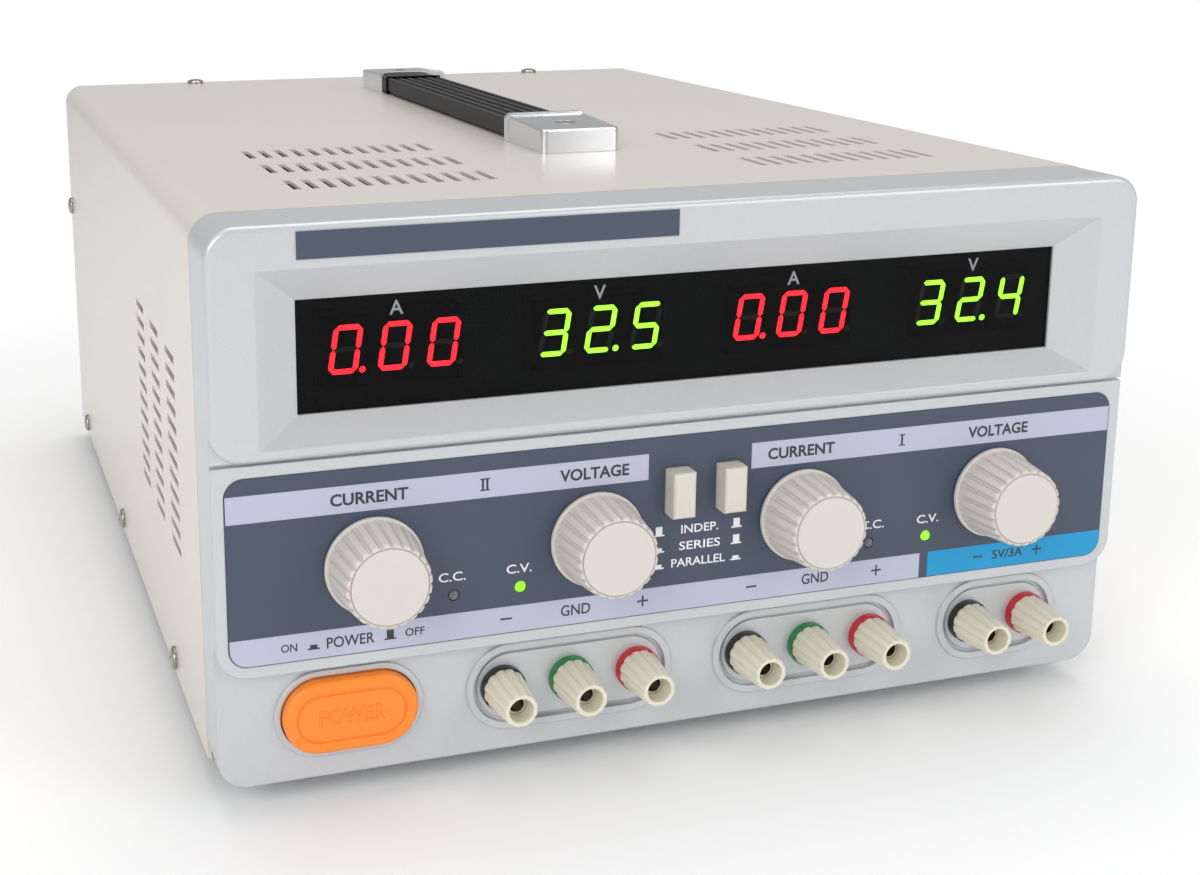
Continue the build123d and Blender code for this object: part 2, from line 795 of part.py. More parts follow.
# Printed overlay, with clearance round what passes through it
with BuildPart() as panel_overlay:
    with BuildSketch(facing(overlay_back_y)):
        with Locations((0, base_z + (overlay_bottom + overlay_top) / 2)):
            RectangleRounded(2 * (overlay_half_width - sheet_fit / 2),
                             overlay_top - overlay_bottom - sheet_fit, overlay_corner - sheet_fit / 2)
        with Locations(*[(x, base_z + knob_z) for x in knob_spots]):
            Circle(bushing_radius + bushing_fit, mode=Mode.SUBTRACT)
        with Locations(*[(x, base_z + track_z) for x in track_spots]):
            Rectangle(track_width + 2 * button_fit, track_height + 2 * button_fit, mode=Mode.SUBTRACT)
        with Locations(*[(x, base_z + lamp_z) for x in current_lamp_spots + voltage_lamp_spots]):
            Circle(lamp_radius + sleeve_fit, mode=Mode.SUBTRACT)
    extrude(amount=overlay_thick)
keep(panel_overlay, "panel_overlay")

with BuildPart() as name_strip:
    with BuildSketch(facing(upper_y)):
        with Locations(((strip_left + strip_right) / 2, base_z + (strip_bottom + strip_top) / 2)):
            Rectangle(strip_right - strip_left, strip_top - strip_bottom)
    extrude(amount=strip_thick)
keep(name_strip, "name_strip")


def build_knob(x):
    """Hollow moulded knob: base flange, tapered fluted barrel, smooth band and inset cap."""
    back_y = panel_y - knob_gap
    z = base_z + knob_z
    band_y = back_y - knob_length + band_length
    with BuildPart() as knob:
        with BuildSketch(facing_at(x, back_y, z)):
            Circle(flange_radius)
        extrude(amount=flange_thick)
        for y, radius in ((back_y - flange_thick, barrel_radius), (band_y, barrel_front_radius)):
            with BuildSketch(facing_at(x, y, z)):
                Circle(radius)
                with PolarLocations(radius, flute_count):
                    Circle(flute_radius, mode=Mode.SUBTRACT)
        loft(ruled=True)
        with BuildSketch(facing_at(x, band_y, z)):
            Circle(barrel_front_radius)
        extrude(amount=band_length - cap_seam)
        fillet(knob.faces().sort_by(Axis.Y)[0].edges(), shoulder)
        with BuildSketch(facing_at(x, band_y - band_length + cap_seam, z)):
            Circle(cap_radius)
        extrude(amount=cap_seam)
        with BuildSketch(facing_at(x, back_y, z)):
            Circle(barrel_front_radius - knob_wall)
            Circle(hub_radius, mode=Mode.SUBTRACT)
        extrude(amount=knob_length - knob_web, mode=Mode.SUBTRACT)
        with BuildSketch(facing_at(x, back_y, z)):
            Circle(shaft_radius)
            with Locations((0, shaft_flat + shaft_radius)):
                Rectangle(2 * shaft_radius, 2 * shaft_radius, mode=Mode.SUBTRACT)
        extrude(amount=shaft_grip, mode=Mode.SUBTRACT)
    return knob


def build_shaft(x):
    """Potentiometer shaft: round where it turns in its bushing, flatted where the knob grips it."""
    back_y = panel_y - knob_gap
    z = base_z + knob_z
    tail_y = board_front_y - pot_thick + shaft_tail
    with BuildPart() as shaft:
        with BuildSketch(facing_at(x, tail_y, z)):
            Circle(shaft_radius)
        extrude(amount=tail_y - back_y)
        with BuildSketch(facing_at(x, back_y, z)):
            Circle(shaft_radius)
            with Locations((0, shaft_flat + shaft_radius)):
                Rectangle(2 * shaft_radius, 2 * shaft_radius, mode=Mode.SUBTRACT)
        extrude(amount=shaft_grip)
    return shaft


control_names = ("current_{}_2", "voltage_{}_2", "current_{}_1", "voltage_{}_1")
for name, x in zip(control_names, knob_spots):
    keep(build_knob(x), name.format("knob"))
    keep(build_shaft(x), name.format("shaft"))

# Potentiometers on the control board, with bushings that reach into the front wall
pot_face_y = board_front_y - pot_thick
with BuildPart() as pot_bodies:
    for x in knob_spots:
        with BuildSketch(facing_at(x, board_front_y, base_z + knob_z)):
            Circle(pot_radius)
        extrude(amount=pot_thick)
        with BuildSketch(facing_at(x, pot_face_y, base_z + knob_z)):
            Circle(bushing_radius)
        extrude(amount=pot_face_y - panel_y)
        with BuildSketch(facing_at(x, pot_face_y + shaft_tail + running_fit, base_z + knob_z)):
            Circle(shaft_radius + running_fit)
        extrude(amount=pot_face_y + shaft_tail + running_fit - panel_y, mode=Mode.SUBTRACT)
keep(pot_bodies, "pot_bodies")

with BuildPart() as control_board:
    with BuildSketch(facing(board_front_y)):
        with Locations((0, base_z + (control_board_bottom + control_board_top) / 2)):
            Rectangle(2 * control_board_half, control_board_top - control_board_bottom)
    extrude(amount=-board_thick)
keep(control_board, "control_board")


def build_track_button(x):
    """Rectangular button cap with a square stem that enters its switch."""
    z = base_z + track_z
    front_y = panel_y - track_proud
    cap_back_y = panel_y + track_back
    stem_end_y = board_front_y - track_switch_depth + track_stem_entry
    with BuildPart() as button:
        with BuildSketch(facing_at(x, cap_back_y, z)):
            Rectangle(track_width, track_height)
        extrude(amount=cap_back_y - front_y)
        fillet(button.faces().sort_by(Axis.Y)[0].edges(), track_edge)
        with BuildSketch(facing_at(x, stem_end_y, z)):
            Rectangle(track_stem, track_stem)
        extrude(amount=stem_end_y - cap_back_y)
    return button


for name, x in zip(("track_button_left", "track_button_right"), track_spots):
    keep(build_track_button(x), name)

with BuildPart() as track_switches:
    for x in track_spots:
        with BuildSketch(facing_at(x, board_front_y, base_z + track_z)):
            Rectangle(track_switch_width, track_switch_height)
        extrude(amount=track_switch_depth)
        with BuildSketch(facing_at(x, board_front_y - track_switch_depth, base_z + track_z)):
            Rectangle(track_stem + 2 * slider_fit, track_stem + 2 * slider_fit)
        extrude(amount=-(track_stem_entry + track_travel + slider_fit), mode=Mode.SUBTRACT)
keep(track_switches, "track_switches")

# Status lamps: a domed body through the panel, a flange behind it and two leads to the board
for label, spots in (("current_lamps", current_lamp_spots), ("voltage_lamps", voltage_lamp_spots)):
    lamp_front_y = overlay_y - lamp_proud
    lamp_back_y = middle_inner_y + lamp_flange_thick
    with BuildPart() as lamps:
        for x in spots:
            with BuildSketch(facing_at(x, lamp_back_y, base_z + lamp_z)):
                Circle(lamp_radius)
            extrude(amount=lamp_back_y - lamp_front_y)
            with BuildSketch(facing_at(x, lamp_back_y, base_z + lamp_z)):
                Circle(lamp_flange)
            extrude(amount=lamp_flange_thick)
            with BuildSketch(facing_at(x, board_front_y, base_z + lamp_z)):
                with GridLocations(lamp_lead_pitch, lamp_lead_pitch, 2, 1):
                    Rectangle(lamp_lead, lamp_lead)
            extrude(amount=board_front_y - lamp_back_y)
        fillet(lamps.edges().group_by(Axis.Y)[0], lamp_dome)
    keep(lamps, label)

# Power button: a hollow oval cap with an engraved line, and a stem that enters its switch
with BuildPart() as power_button:
    skirt_back_y = power_front_y + power_skirt
    stem_end_y = switch_y + stem_entry
    with BuildSketch(facing_at(power_x, skirt_back_y, base_z + socket_row_z)):
        SlotOverall(power_width, power_height)
    extrude(amount=power_skirt)
    fillet(power_button.faces().sort_by(Axis.Y)[0].edges(), power_edge)
    with BuildSketch(facing_at(power_x, skirt_back_y, base_z + socket_row_z)):
        SlotOverall(power_width - 2 * power_wall, power_height - 2 * power_wall)
    extrude(amount=power_skirt - power_face, mode=Mode.SUBTRACT)
    with BuildSketch(facing_at(power_x, power_front_y, base_z + socket_row_z)):
        line_width = power_width - 2 * power_line_inset
        line_height = power_height - 2 * power_line_inset
        SlotOverall(line_width, line_height)
        SlotOverall(line_width - 2 * power_line_width, line_height - 2 * power_line_width, mode=Mode.SUBTRACT)
    extrude(amount=-power_line_depth, mode=Mode.SUBTRACT)
    with BuildSketch(facing_at(power_x, stem_end_y, base_z + socket_row_z)):
        Circle(power_stem_radius)
    extrude(amount=stem_end_y - power_front_y - power_wall)
keep(power_button, "power_button")

with BuildPart() as power_switch:
    with BuildSketch(facing_at(power_x, switch_y + switch_depth, base_z + socket_row_z)):
        Rectangle(switch_width, switch_height)
    extrude(amount=switch_depth)
    with BuildSketch(facing_at(power_x, switch_y, base_z + socket_row_z)):
        Circle(power_stem_radius + slider_fit)
    extrude(amount=-(stem_entry + slider_fit), mode=Mode.SUBTRACT)
    with BuildSketch(facing_at(power_x, switch_y + switch_depth, base_z + socket_row_z)):
        with GridLocations(switch_blade_pitch, switch_blade_pitch, 2, 2):
            Rectangle(switch_blade_width, switch_blade_thick)
    extrude(amount=-switch_blade_length)
keep(power_switch, "power_switch")

# Terminals: coloured collars through the wall, metal stems with sockets, and hexagon nuts behind
for colour in ("black", "green", "red"):
    with BuildPart() as collars:
        for x, own_colour in zip(post_spots, post_colours):
            if own_colour == colour:
                with BuildSketch(facing_at(x, lower_y, base_z + socket_row_z)):
                    Circle(collar_radius)
                extrude(amount=collar_thick)
                with BuildSketch(facing_at(x, lower_inner_y, base_z + socket_row_z)):
                    Circle(collar_sleeve)
                extrude(amount=bezel_wall)
                with BuildSketch(facing_at(x, lower_inner_y, base_z + socket_row_z)):
                    Circle(stem_radius)
                extrude(amount=bezel_wall + collar_thick, mode=Mode.SUBTRACT)
    keep(collars, f"post_collars_{colour}")

with BuildPart() as post_stems:
    for x in post_spots:
        with BuildSketch(facing_at(x, lower_inner_y + stem_tail, base_z + socket_row_z)):
            Circle(stem_radius)
        extrude(amount=lower_inner_y + stem_tail - stem_front_y)
        with BuildSketch(facing_at(x, stem_front_y, base_z + socket_row_z)):
            Circle(socket_radius)
        extrude(amount=-socket_depth, mode=Mode.SUBTRACT)
keep(post_stems, "post_stems")

with BuildPart() as post_back_nuts:
    for x in post_spots:
        with BuildSketch(facing_at(x, lower_inner_y + hex_nut_thick, base_z + socket_row_z)):
            RegularPolygon(hex_nut_across / 2, 6, major_radius=False)
            Circle(stem_radius, mode=Mode.SUBTRACT)
        extrude(amount=hex_nut_thick)
keep(post_back_nuts, "post_back_nuts")


def build_post_nut(x):
    """Tapered, fluted clamping nut with a wide mouth ahead of its thread."""
    z = base_z + socket_row_z
    with BuildPart() as nut:
        for y, radius in ((collar_front_y, nut_base_radius), (nut_front_y, nut_front_radius)):
            with BuildSketch(facing_at(x, y, z)):
                Circle(radius)
                with PolarLocations(radius + nut_flute_radius - nut_flute_sink, nut_flutes):
                    Circle(nut_flute_radius, mode=Mode.SUBTRACT)
        loft(ruled=True)
        with BuildSketch(facing_at(x, collar_front_y, z)):
            Circle(stem_radius + thread_fit)
        extrude(amount=nut_length, mode=Mode.SUBTRACT)
        with BuildSketch(facing_at(x, nut_front_y, z)):
            Circle(nut_mouth)
        extrude(amount=-nut_mouth_depth, mode=Mode.SUBTRACT)
    return nut


for number, x in enumerate(post_spots, start=1):
    keep(build_post_nut(x), f"post_nut_{number}")

# Handle end caps: sloped tops, open towards the strap, with a raised lip round the mouth
# and a post inside that the strap slides past
for label, outer_y, inward in (("handle_cap_front", handle_start, 1), ("handle_cap_rear", handle_end, -1)):
    mouth_y = outer_y + inward * grip_cap_length
    inner_width = grip_cap_width - 2 * grip_cap_wall
    ceiling_z = top_z + grip_cap_height - grip_cap_wall
    low_ceiling_z = top_z + grip_cap_low - grip_cap_wall
    post_y = outer_y + inward * grip_screw_y
    with BuildPart() as grip_cap:
        with BuildSketch(across(handle_x - grip_cap_width / 2)):
            with BuildLine():
                Polyline((outer_y, top_z), (mouth_y, top_z), (mouth_y, top_z + grip_cap_height),
                         (outer_y, top_z + grip_cap_low), close=True)
            make_face()
        extrude(amount=grip_cap_width)
        outer_face = grip_cap.faces().sort_by(Axis.Y, reverse=inward < 0)[0]
        fillet(outer_face.edges().filter_by(Axis.Z), grip_corner)
        top_edges = grip_cap.faces().sort_by(Axis.Z)[-1].edges().sort_by(Axis.Y, reverse=inward < 0)
        fillet(top_edges[:-1], grip_cap_edge)
        with BuildSketch(facing(max(mouth_y, mouth_y - inward * grip_lip))):
            with Locations((handle_x, top_z + (grip_cap_height + grip_lip_rise) / 2)):
                Rectangle(grip_cap_width + 2 * grip_lip_rise, grip_cap_height + grip_lip_rise)
            fillet(vertices().group_by(Axis.Y)[-1], grip_corner)
        extrude(amount=grip_lip)
        with BuildSketch(across(handle_x - inner_width / 2)):
            with BuildLine():
                Polyline((outer_y + inward * grip_cap_wall, top_z), (mouth_y, top_z), (mouth_y, ceiling_z),
                         (outer_y + inward * grip_cap_wall, low_ceiling_z), close=True)
            make_face()
        extrude(amount=inner_width, mode=Mode.SUBTRACT)
        with BuildSketch(Plane(origin=(handle_x, post_y, top_z))):
            Circle(grip_post_radius)
        extrude(amount=grip_seat)
        with BuildSketch(Plane(origin=(handle_x, post_y, top_z))):
            Circle(screw_shank + screw_hole_fit)
        extrude(amount=grip_seat, mode=Mode.SUBTRACT)
        with BuildSketch(Plane(origin=(handle_x, post_y, grip_seat_z))):
            Circle(grip_screw_radius + screw_hole_fit)
        extrude(amount=grip_cap_height, mode=Mode.SUBTRACT)
    keep(grip_cap, label)

with BuildPart() as handle_screws:
    for y in grip_screw_spots:
        with BuildSketch(Plane(origin=(handle_x, y, grip_seat_z))):
            Circle(grip_screw_radius)
        extrude(amount=grip_screw_height, taper=screw_head_taper)
        with BuildSketch(Plane(origin=(handle_x, y, grip_seat_z))):
            Circle(screw_shank)
        extrude(amount=-(grip_seat_z - top_z + screw_length))
keep(handle_screws, "handle_screws")

# Ribbed rubber strap: a channel whose skirts sweep up at both ends, with slotted tongues
strap_start = handle_start + strap_inset
strap_end = handle_end - strap_inset
body_start = handle_start + grip_cap_length - strap_body_entry
body_end = handle_end - grip_cap_length + strap_body_entry
with BuildPart() as handle_strap:
    with BuildSketch(across(handle_x - strap_width / 2)):
        with BuildLine():
            Polyline((strap_start, top_z + strap_tongue_high), (strap_start, top_z + strap_tongue_low),
                     (body_start, top_z + strap_tongue_low))
            TangentArc((body_start + strap_sweep, top_z + strap_lift),
                       (body_start, top_z + strap_tongue_low), tangent=(-1, 0))
            Line((body_start + strap_sweep, top_z + strap_lift), (body_end - strap_sweep, top_z + strap_lift))
            TangentArc((body_end - strap_sweep, top_z + strap_lift),
                       (body_end, top_z + strap_tongue_low), tangent=(1, 0))
            Polyline((body_end, top_z + strap_tongue_low), (strap_end, top_z + strap_tongue_low),
                     (strap_end, top_z + strap_tongue_high), (body_end, top_z + strap_tongue_high),
                     (body_end, top_z + strap_top), (body_start, top_z + strap_top),
                     (body_start, top_z + strap_tongue_high), (strap_start, top_z + strap_tongue_high))
        make_face()
    extrude(amount=strap_width)
    with BuildSketch(Plane(origin=(handle_x, (handle_start + handle_end) / 2, top_z))):
        Rectangle(strap_width - 2 * strap_skirt, body_end - body_start - 2 * strap_sweep)
    extrude(amount=strap_top - strap_deck, mode=Mode.SUBTRACT)
    with BuildSketch(Plane(origin=(handle_x, (handle_start + handle_end) / 2, top_z + strap_top))):
        with GridLocations((strap_width - strap_rib) / (strap_rib_count - 1), 1, strap_rib_count, 1):
            Rectangle(strap_rib, body_end - body_start)
    extrude(amount=strap_rib_height)
    with BuildSketch(Plane(origin=(handle_x, (handle_start + handle_end) / 2, top_z + strap_top))):
        with GridLocations(1, (body_end - body_start) / strap_dash_count, 1, strap_dash_count):
            Rectangle(strap_dash_width, strap_dash_length)
    extrude(amount=-strap_dash_depth, mode=Mode.SUBTRACT)
    for y in grip_screw_spots:
        with BuildSketch(Plane(origin=(handle_x, y, top_z))):
            SlotCenterToCenter(2 * strap_travel, 2 * (grip_post_radius + grip_post_fit), rotation=90)
        extrude(amount=grip_cap_height, mode=Mode.SUBTRACT)
keep(handle_strap, "handle_strap")

# Fan: square frame with a motor plate on struts, and a rotor with twisted blades
fan_rear_y = rear_inner_y
fan_front_y = fan_rear_y - fan_depth
rotor_back_y = fan_front_y + fan_plate + fan_clear
with BuildPart() as fan_frame:
    with BuildSketch(facing_at(fan_x, fan_rear_y, base_z + fan_z)):
        RectangleRounded(fan_size, fan_size, fan_corner)
        Circle(duct_radius, mode=Mode.SUBTRACT)
        with GridLocations(fan_hole_pitch, fan_hole_pitch, 2, 2):
            Circle(fan_hole_radius, mode=Mode.SUBTRACT)
    extrude(amount=fan_depth)
    with BuildSketch(facing_at(fan_x, fan_front_y + fan_plate, base_z + fan_z)):
        Circle(fan_hub_radius)
        Rectangle(2 * duct_radius + fan_strut, fan_strut, rotation=45)
        Rectangle(2 * duct_radius + fan_strut, fan_strut, rotation=-45)
    extrude(amount=fan_plate)
    with BuildSketch(facing_at(fan_x, rotor_back_y + rotor_length / 2, base_z + fan_z)):
        Circle(bearing_radius)
    extrude(amount=rotor_length / 2 + fan_clear + fan_plate)
keep(fan_frame, "fan_frame")

with BuildPart() as fan_rotor:
    with BuildSketch(facing_at(fan_x, rotor_back_y + rotor_length, base_z + fan_z)):
        Circle(fan_hub_radius)
    extrude(amount=rotor_length)
    blade_y = rotor_back_y + rotor_length / 2
    for blade in range(blade_count):
        out = Vector(1, 0, 0).rotate(Axis.Y, blade * 360 / blade_count)
        hub_centre = Vector(fan_x, blade_y, base_z + fan_z)
        for radius, angle in ((fan_hub_radius - blade_root, blade_root_angle),
                              (blade_radius, blade_tip_angle)):
            with BuildSketch(Plane(origin=hub_centre + out * radius, x_dir=(0, 1, 0), z_dir=out)):
                Rectangle(blade_chord, blade_thick, rotation=angle)
        loft()
    with BuildSketch(facing_at(fan_x, rotor_back_y + rotor_length / 2 + fan_clear, base_z + fan_z)):
        Circle(bearing_radius + running_fit)
    extrude(amount=rotor_length / 2 + fan_clear, mode=Mode.SUBTRACT)
keep(fan_rotor, "fan_rotor")

# Mains inlet: flange, body, bevelled mouth with three pins, and a drawer that holds the fuse
with BuildPart() as mains_inlet:
    with BuildSketch(facing_at(inlet_x, rear_y + inlet_proud, base_z + inlet_z)):
        RectangleRounded(inlet_flange_width, inlet_flange_height, fan_corner)
    extrude(amount=inlet_proud)
    with BuildSketch(facing_at(inlet_x, rear_y, base_z + inlet_z)):
        Rectangle(inlet_body_width, inlet_body_height)
    extrude(amount=inlet_depth)
    with BuildSketch(facing_at(inlet_x, rear_y + inlet_proud, base_z + inlet_z)):
        with Locations((0, inlet_mouth_z)):
            Rectangle(inlet_mouth_width, inlet_mouth_height)
        chamfer(vertices().group_by(Axis.Y)[-1], inlet_bevel)
    extrude(amount=inlet_mouth_depth, mode=Mode.SUBTRACT)
    with BuildSketch(facing_at(inlet_x, rear_y + inlet_proud, base_z + inlet_z)):
        with Locations((0, drawer_z)):
            Rectangle(drawer_width + 2 * drawer_fit, drawer_height + 2 * drawer_fit)
    extrude(amount=drawer_length + drawer_fit, mode=Mode.SUBTRACT)
    with BuildSketch(facing_at(inlet_x, rear_y + inlet_proud - inlet_mouth_depth + pin_length,
                               base_z + inlet_z + inlet_mouth_z)):
        with Locations((-pin_spread, -pin_step), (pin_spread, -pin_step), (0, pin_step)):
            Rectangle(pin_width, pin_height)
    extrude(amount=pin_length)
keep(mains_inlet, "mains_inlet")

with BuildPart() as fuse_drawer:
    drawer_y = rear_y + inlet_proud
    with BuildSketch(facing_at(inlet_x, drawer_y, base_z + inlet_z + drawer_z)):
        Rectangle(drawer_width, drawer_height)
    extrude(amount=drawer_length)
    with BuildSketch(facing_at(inlet_x, drawer_y + drawer_lip, base_z + inlet_z + drawer_z)):
        Rectangle(drawer_width + 2 * drawer_lip, drawer_height + 2 * drawer_lip)
    extrude(amount=drawer_lip)
    with BuildSketch(Plane(origin=(inlet_x, drawer_y - drawer_length / 2, base_z + inlet_z + drawer_z))):
        Rectangle(drawer_width - 2 * drawer_wall, drawer_length - 2 * drawer_wall)
    extrude(amount=drawer_height, mode=Mode.SUBTRACT)
keep(fuse_drawer, "fuse_drawer")

# Voltage selector: a grooved slider in a recessed window
selector_front_y = rear_y + selector_plate
with BuildPart() as voltage_selector:
    with BuildSketch(facing_at(selector_x, selector_front_y, base_z + selector_z)):
        Rectangle(selector_plate_width, selector_plate_height)
    extrude(amount=selector_plate)
    with BuildSketch(facing_at(selector_x, rear_y, base_z + selector_z)):
        Rectangle(selector_width, selector_height)
    extrude(amount=selector_depth)
    with BuildSketch(facing_at(selector_x, selector_front_y, base_z + selector_z)):
        Rectangle(selector_window_width, selector_window_height)
    extrude(amount=selector_window_depth, mode=Mode.SUBTRACT)
keep(voltage_selector, "voltage_selector")

slider_y = selector_front_y - selector_window_depth + slider_fit + slider_depth
with BuildPart() as selector_slider:
    with BuildSketch(facing_at(selector_x - slider_travel / 2, slider_y, base_z + selector_z)):
        Rectangle(slider_width, selector_window_height - 2 * slider_fit)
    extrude(amount=slider_depth)
    with BuildSketch(facing_at(selector_x - slider_travel / 2, slider_y, base_z + selector_z)):
        Rectangle(slider_groove, selector_window_height)
    extrude(amount=slider_groove, mode=Mode.SUBTRACT)
keep(selector_slider, "selector_slider")

# Transformer: laminated core with two windows, and the winding round its middle leg
core_origin_y = joint_y + core_y
with BuildPart() as transformer_core:
    with BuildSketch(facing(core_origin_y + core_stack / 2)):
        with Locations((core_x, tray_top + core_height / 2)):
            Rectangle(core_width, core_height)
            with GridLocations(core_width / 2, core_height, 2, 1):
                Rectangle(core_leg, core_height - 2 * core_leg, mode=Mode.SUBTRACT)
    extrude(amount=core_stack)
keep(transformer_core, "transformer_core")

with BuildPart() as transformer_coils:
    with BuildSketch(Plane(origin=(core_x, core_origin_y, tray_top + core_leg + coil_fit))):
        RectangleRounded(2 * (core_leg + coil_build), core_stack + 2 * coil_build, coil_corner)
        Rectangle(2 * (core_leg + coil_fit), core_stack + 2 * coil_fit, mode=Mode.SUBTRACT)
    extrude(amount=core_height - 2 * (core_leg + coil_fit))
keep(transformer_coils, "transformer_coils")

# Heatsink ahead of the fan: an upright comb of fins with the pass transistors on its back
sink_rear_y = fan_front_y - sink_gap
sink_face_y = sink_rear_y - sink_depth
with BuildPart() as heatsink:
    with BuildSketch(Plane(origin=(fan_x, sink_face_y + sink_base / 2, tray_top))):
        Rectangle(sink_width, sink_base)
    with BuildSketch(Plane(origin=(fan_x, (sink_face_y + sink_base + sink_rear_y) / 2, tray_top))):
        with GridLocations((sink_width - fin_thick) / (fin_count - 1), 1, fin_count, 1):
            Rectangle(fin_thick, sink_depth - sink_base)
    extrude(amount=sink_height)
keep(heatsink, "heatsink")

with BuildPart() as power_transistors:
    with BuildSketch(facing_at(fan_x, sink_face_y, tray_top + sink_height / 2)):
        with GridLocations(can_width + can_gap, can_height + can_gap, can_columns, can_rows):
            Rectangle(can_width, can_height)
    extrude(amount=can_thick)
keep(power_transistors, "power_transistors")

# Regulator board on the tray's standoffs, with the reservoir capacitors at its rear edge
board_z = tray_top + standoff_height
with BuildPart() as regulator_board:
    with BuildSketch(Plane(origin=(board_x, joint_y + board_y, board_z))):
        Rectangle(board_width, board_depth)
    extrude(amount=board_thick)
keep(regulator_board, "regulator_board")

with BuildPart() as filter_capacitors:
    can_y = joint_y + board_y + board_depth / 2 - can_cap_radius - standoff_inset
    with BuildSketch(Plane(origin=(board_x, can_y, board_z + board_thick))):
        with GridLocations(can_cap_pitch, can_cap_pitch, can_cap_count, 1):
            Circle(can_cap_radius)
    extrude(amount=can_cap_height)
keep(filter_capacitors, "filter_capacitors")
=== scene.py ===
# %% Load the solid model
import math

import bmesh
import bpy
from mathutils import Matrix, Vector


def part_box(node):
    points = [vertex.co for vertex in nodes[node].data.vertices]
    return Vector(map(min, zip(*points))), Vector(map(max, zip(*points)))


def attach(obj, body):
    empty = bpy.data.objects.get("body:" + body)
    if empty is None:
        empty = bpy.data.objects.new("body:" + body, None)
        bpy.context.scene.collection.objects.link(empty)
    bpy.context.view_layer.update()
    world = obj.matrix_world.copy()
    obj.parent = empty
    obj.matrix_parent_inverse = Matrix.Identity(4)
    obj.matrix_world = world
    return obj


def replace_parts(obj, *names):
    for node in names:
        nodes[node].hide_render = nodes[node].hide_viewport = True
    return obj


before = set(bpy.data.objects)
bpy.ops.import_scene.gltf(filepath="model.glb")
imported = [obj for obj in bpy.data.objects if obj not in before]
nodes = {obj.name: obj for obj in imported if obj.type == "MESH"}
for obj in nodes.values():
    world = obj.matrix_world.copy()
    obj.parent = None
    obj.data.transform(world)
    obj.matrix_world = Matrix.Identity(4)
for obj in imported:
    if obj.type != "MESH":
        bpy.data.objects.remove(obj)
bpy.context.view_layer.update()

# %% [markdown]
# The object is a bench power supply. Its solids are already measured and fixed, and this file gives
# them their looks: finishes, printing, numerals, screws, light and a camera.
# Everything is in metres: X is right, the front faces -Y, Z is up and the bench is Z = 0.
# The front's marks are easier to place in millimetres from the bottom middle of the front moulding,
# so one small helper turns such a place into metres, and the depths come from the solids themselves.

# %% Places on the front
MM = 0.001
base_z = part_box("front_bezel")[0].z


def low_y(node):
    """The foremost Y of a solid piece."""
    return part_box(node)[0].y


def at(x, z, y):
    """A point at x and z millimetres on the front, at depth y in metres."""
    return Vector((x * MM, y, base_z + z * MM))


overlay_y = low_y("panel_overlay")
window_y = low_y("display_window")
print("overlay at", round(overlay_y, 5), "window at", round(window_y, 5), "base", round(base_z, 4))

# %% [markdown]
# A camera in Blender is a lens with a place and a direction. The photo was cropped off its middle, so
# the lens is shifted instead of turned: that keeps the vertical lines at the slant the photo shows.
# Three angles could say the direction. Here it is built from the three directions of the picture,
# right, up and back, because a camera fitted to a photo gives those as they are.

# %% Camera
SENSOR_WIDTH = 36.0
FOCAL_LENGTH = 51.798
SHIFT_RIGHT, SHIFT_UP = 0.11, -0.11708
CAMERA_X = -0.19492
CAMERA_TO_SEAM = 0.42298
CAMERA_OVER_BASE = 0.22101
COVER_TO_SEAM = 0.6 * MM
picture_right = Vector((0.95217, -0.30556, -0.00289))
picture_up = Vector((0.0693, 0.2067, 0.97595))
picture_back = Vector((-0.29761, -0.92947, 0.21799))


def new_object(name, data):
    """An object that holds some data, linked to the scene."""
    thing = bpy.data.objects.new(name, data)
    bpy.context.scene.collection.objects.link(thing)
    return thing


camera_data = bpy.data.cameras.new("camera")
camera_data.sensor_width = SENSOR_WIDTH
camera_data.lens = FOCAL_LENGTH
camera_data.shift_x = SHIFT_RIGHT
camera_data.shift_y = SHIFT_UP
camera_data.clip_start = 0.01
camera = new_object("camera", camera_data)
seam_y = low_y("top_cover") - COVER_TO_SEAM
camera_place = (CAMERA_X, seam_y - CAMERA_TO_SEAM, base_z + CAMERA_OVER_BASE)
turn = Matrix((picture_right, picture_up, picture_back)).transposed().to_4x4()
camera.matrix_world = Matrix.Translation(camera_place) @ turn
bpy.context.scene.camera = camera
print("camera at", [round(v, 4) for v in camera.matrix_world.translation])

# %% [markdown]
# Colours are easiest to read off a photo as 0 to 255, but a shader wants linear light, so one helper
# turns them by the usual curve of a screen. The others start a material, find its Principled shader,
# set inputs by name, add a node and join two sockets. With them each finish reads as a short recipe.

# %% Colour and material helpers


def tone(red, green, blue):
    """A colour read as 0 to 255, as the linear colour that a shader takes."""
    linear = []
    for value in (red, green, blue):
        share = value / 255
        linear.append(share / 12.92 if share <= 0.04045 else ((share + 0.055) / 1.055) ** 2.4)
    return (*linear, 1.0)


def fill(node, **values):
    """Set inputs of a node by name, with a space written as an underscore."""
    for name, value in values.items():
        node.inputs[name.replace("_", " ")].default_value = value
    return node


def shader_of(material):
    """The Principled shader of a material."""
    return material.node_tree.nodes["Principled BSDF"]


def new_material(name, color, roughness, metallic=0.0, **values):
    """A material whose Principled shader has these values, and any more that are named."""
    material = bpy.data.materials.new(name)
    material.use_nodes = True
    fill(shader_of(material), Base_Color=color, Roughness=roughness, Metallic=metallic, **values)
    return material


def add(material, kind, **values):
    """A node in a material, with values for its named inputs."""
    return fill(material.node_tree.nodes.new(kind), **values)


def link(material, source, target):
    """Join an output socket to an input socket."""
    material.node_tree.links.new(source, target)


print("white is", tone(255, 255, 255))

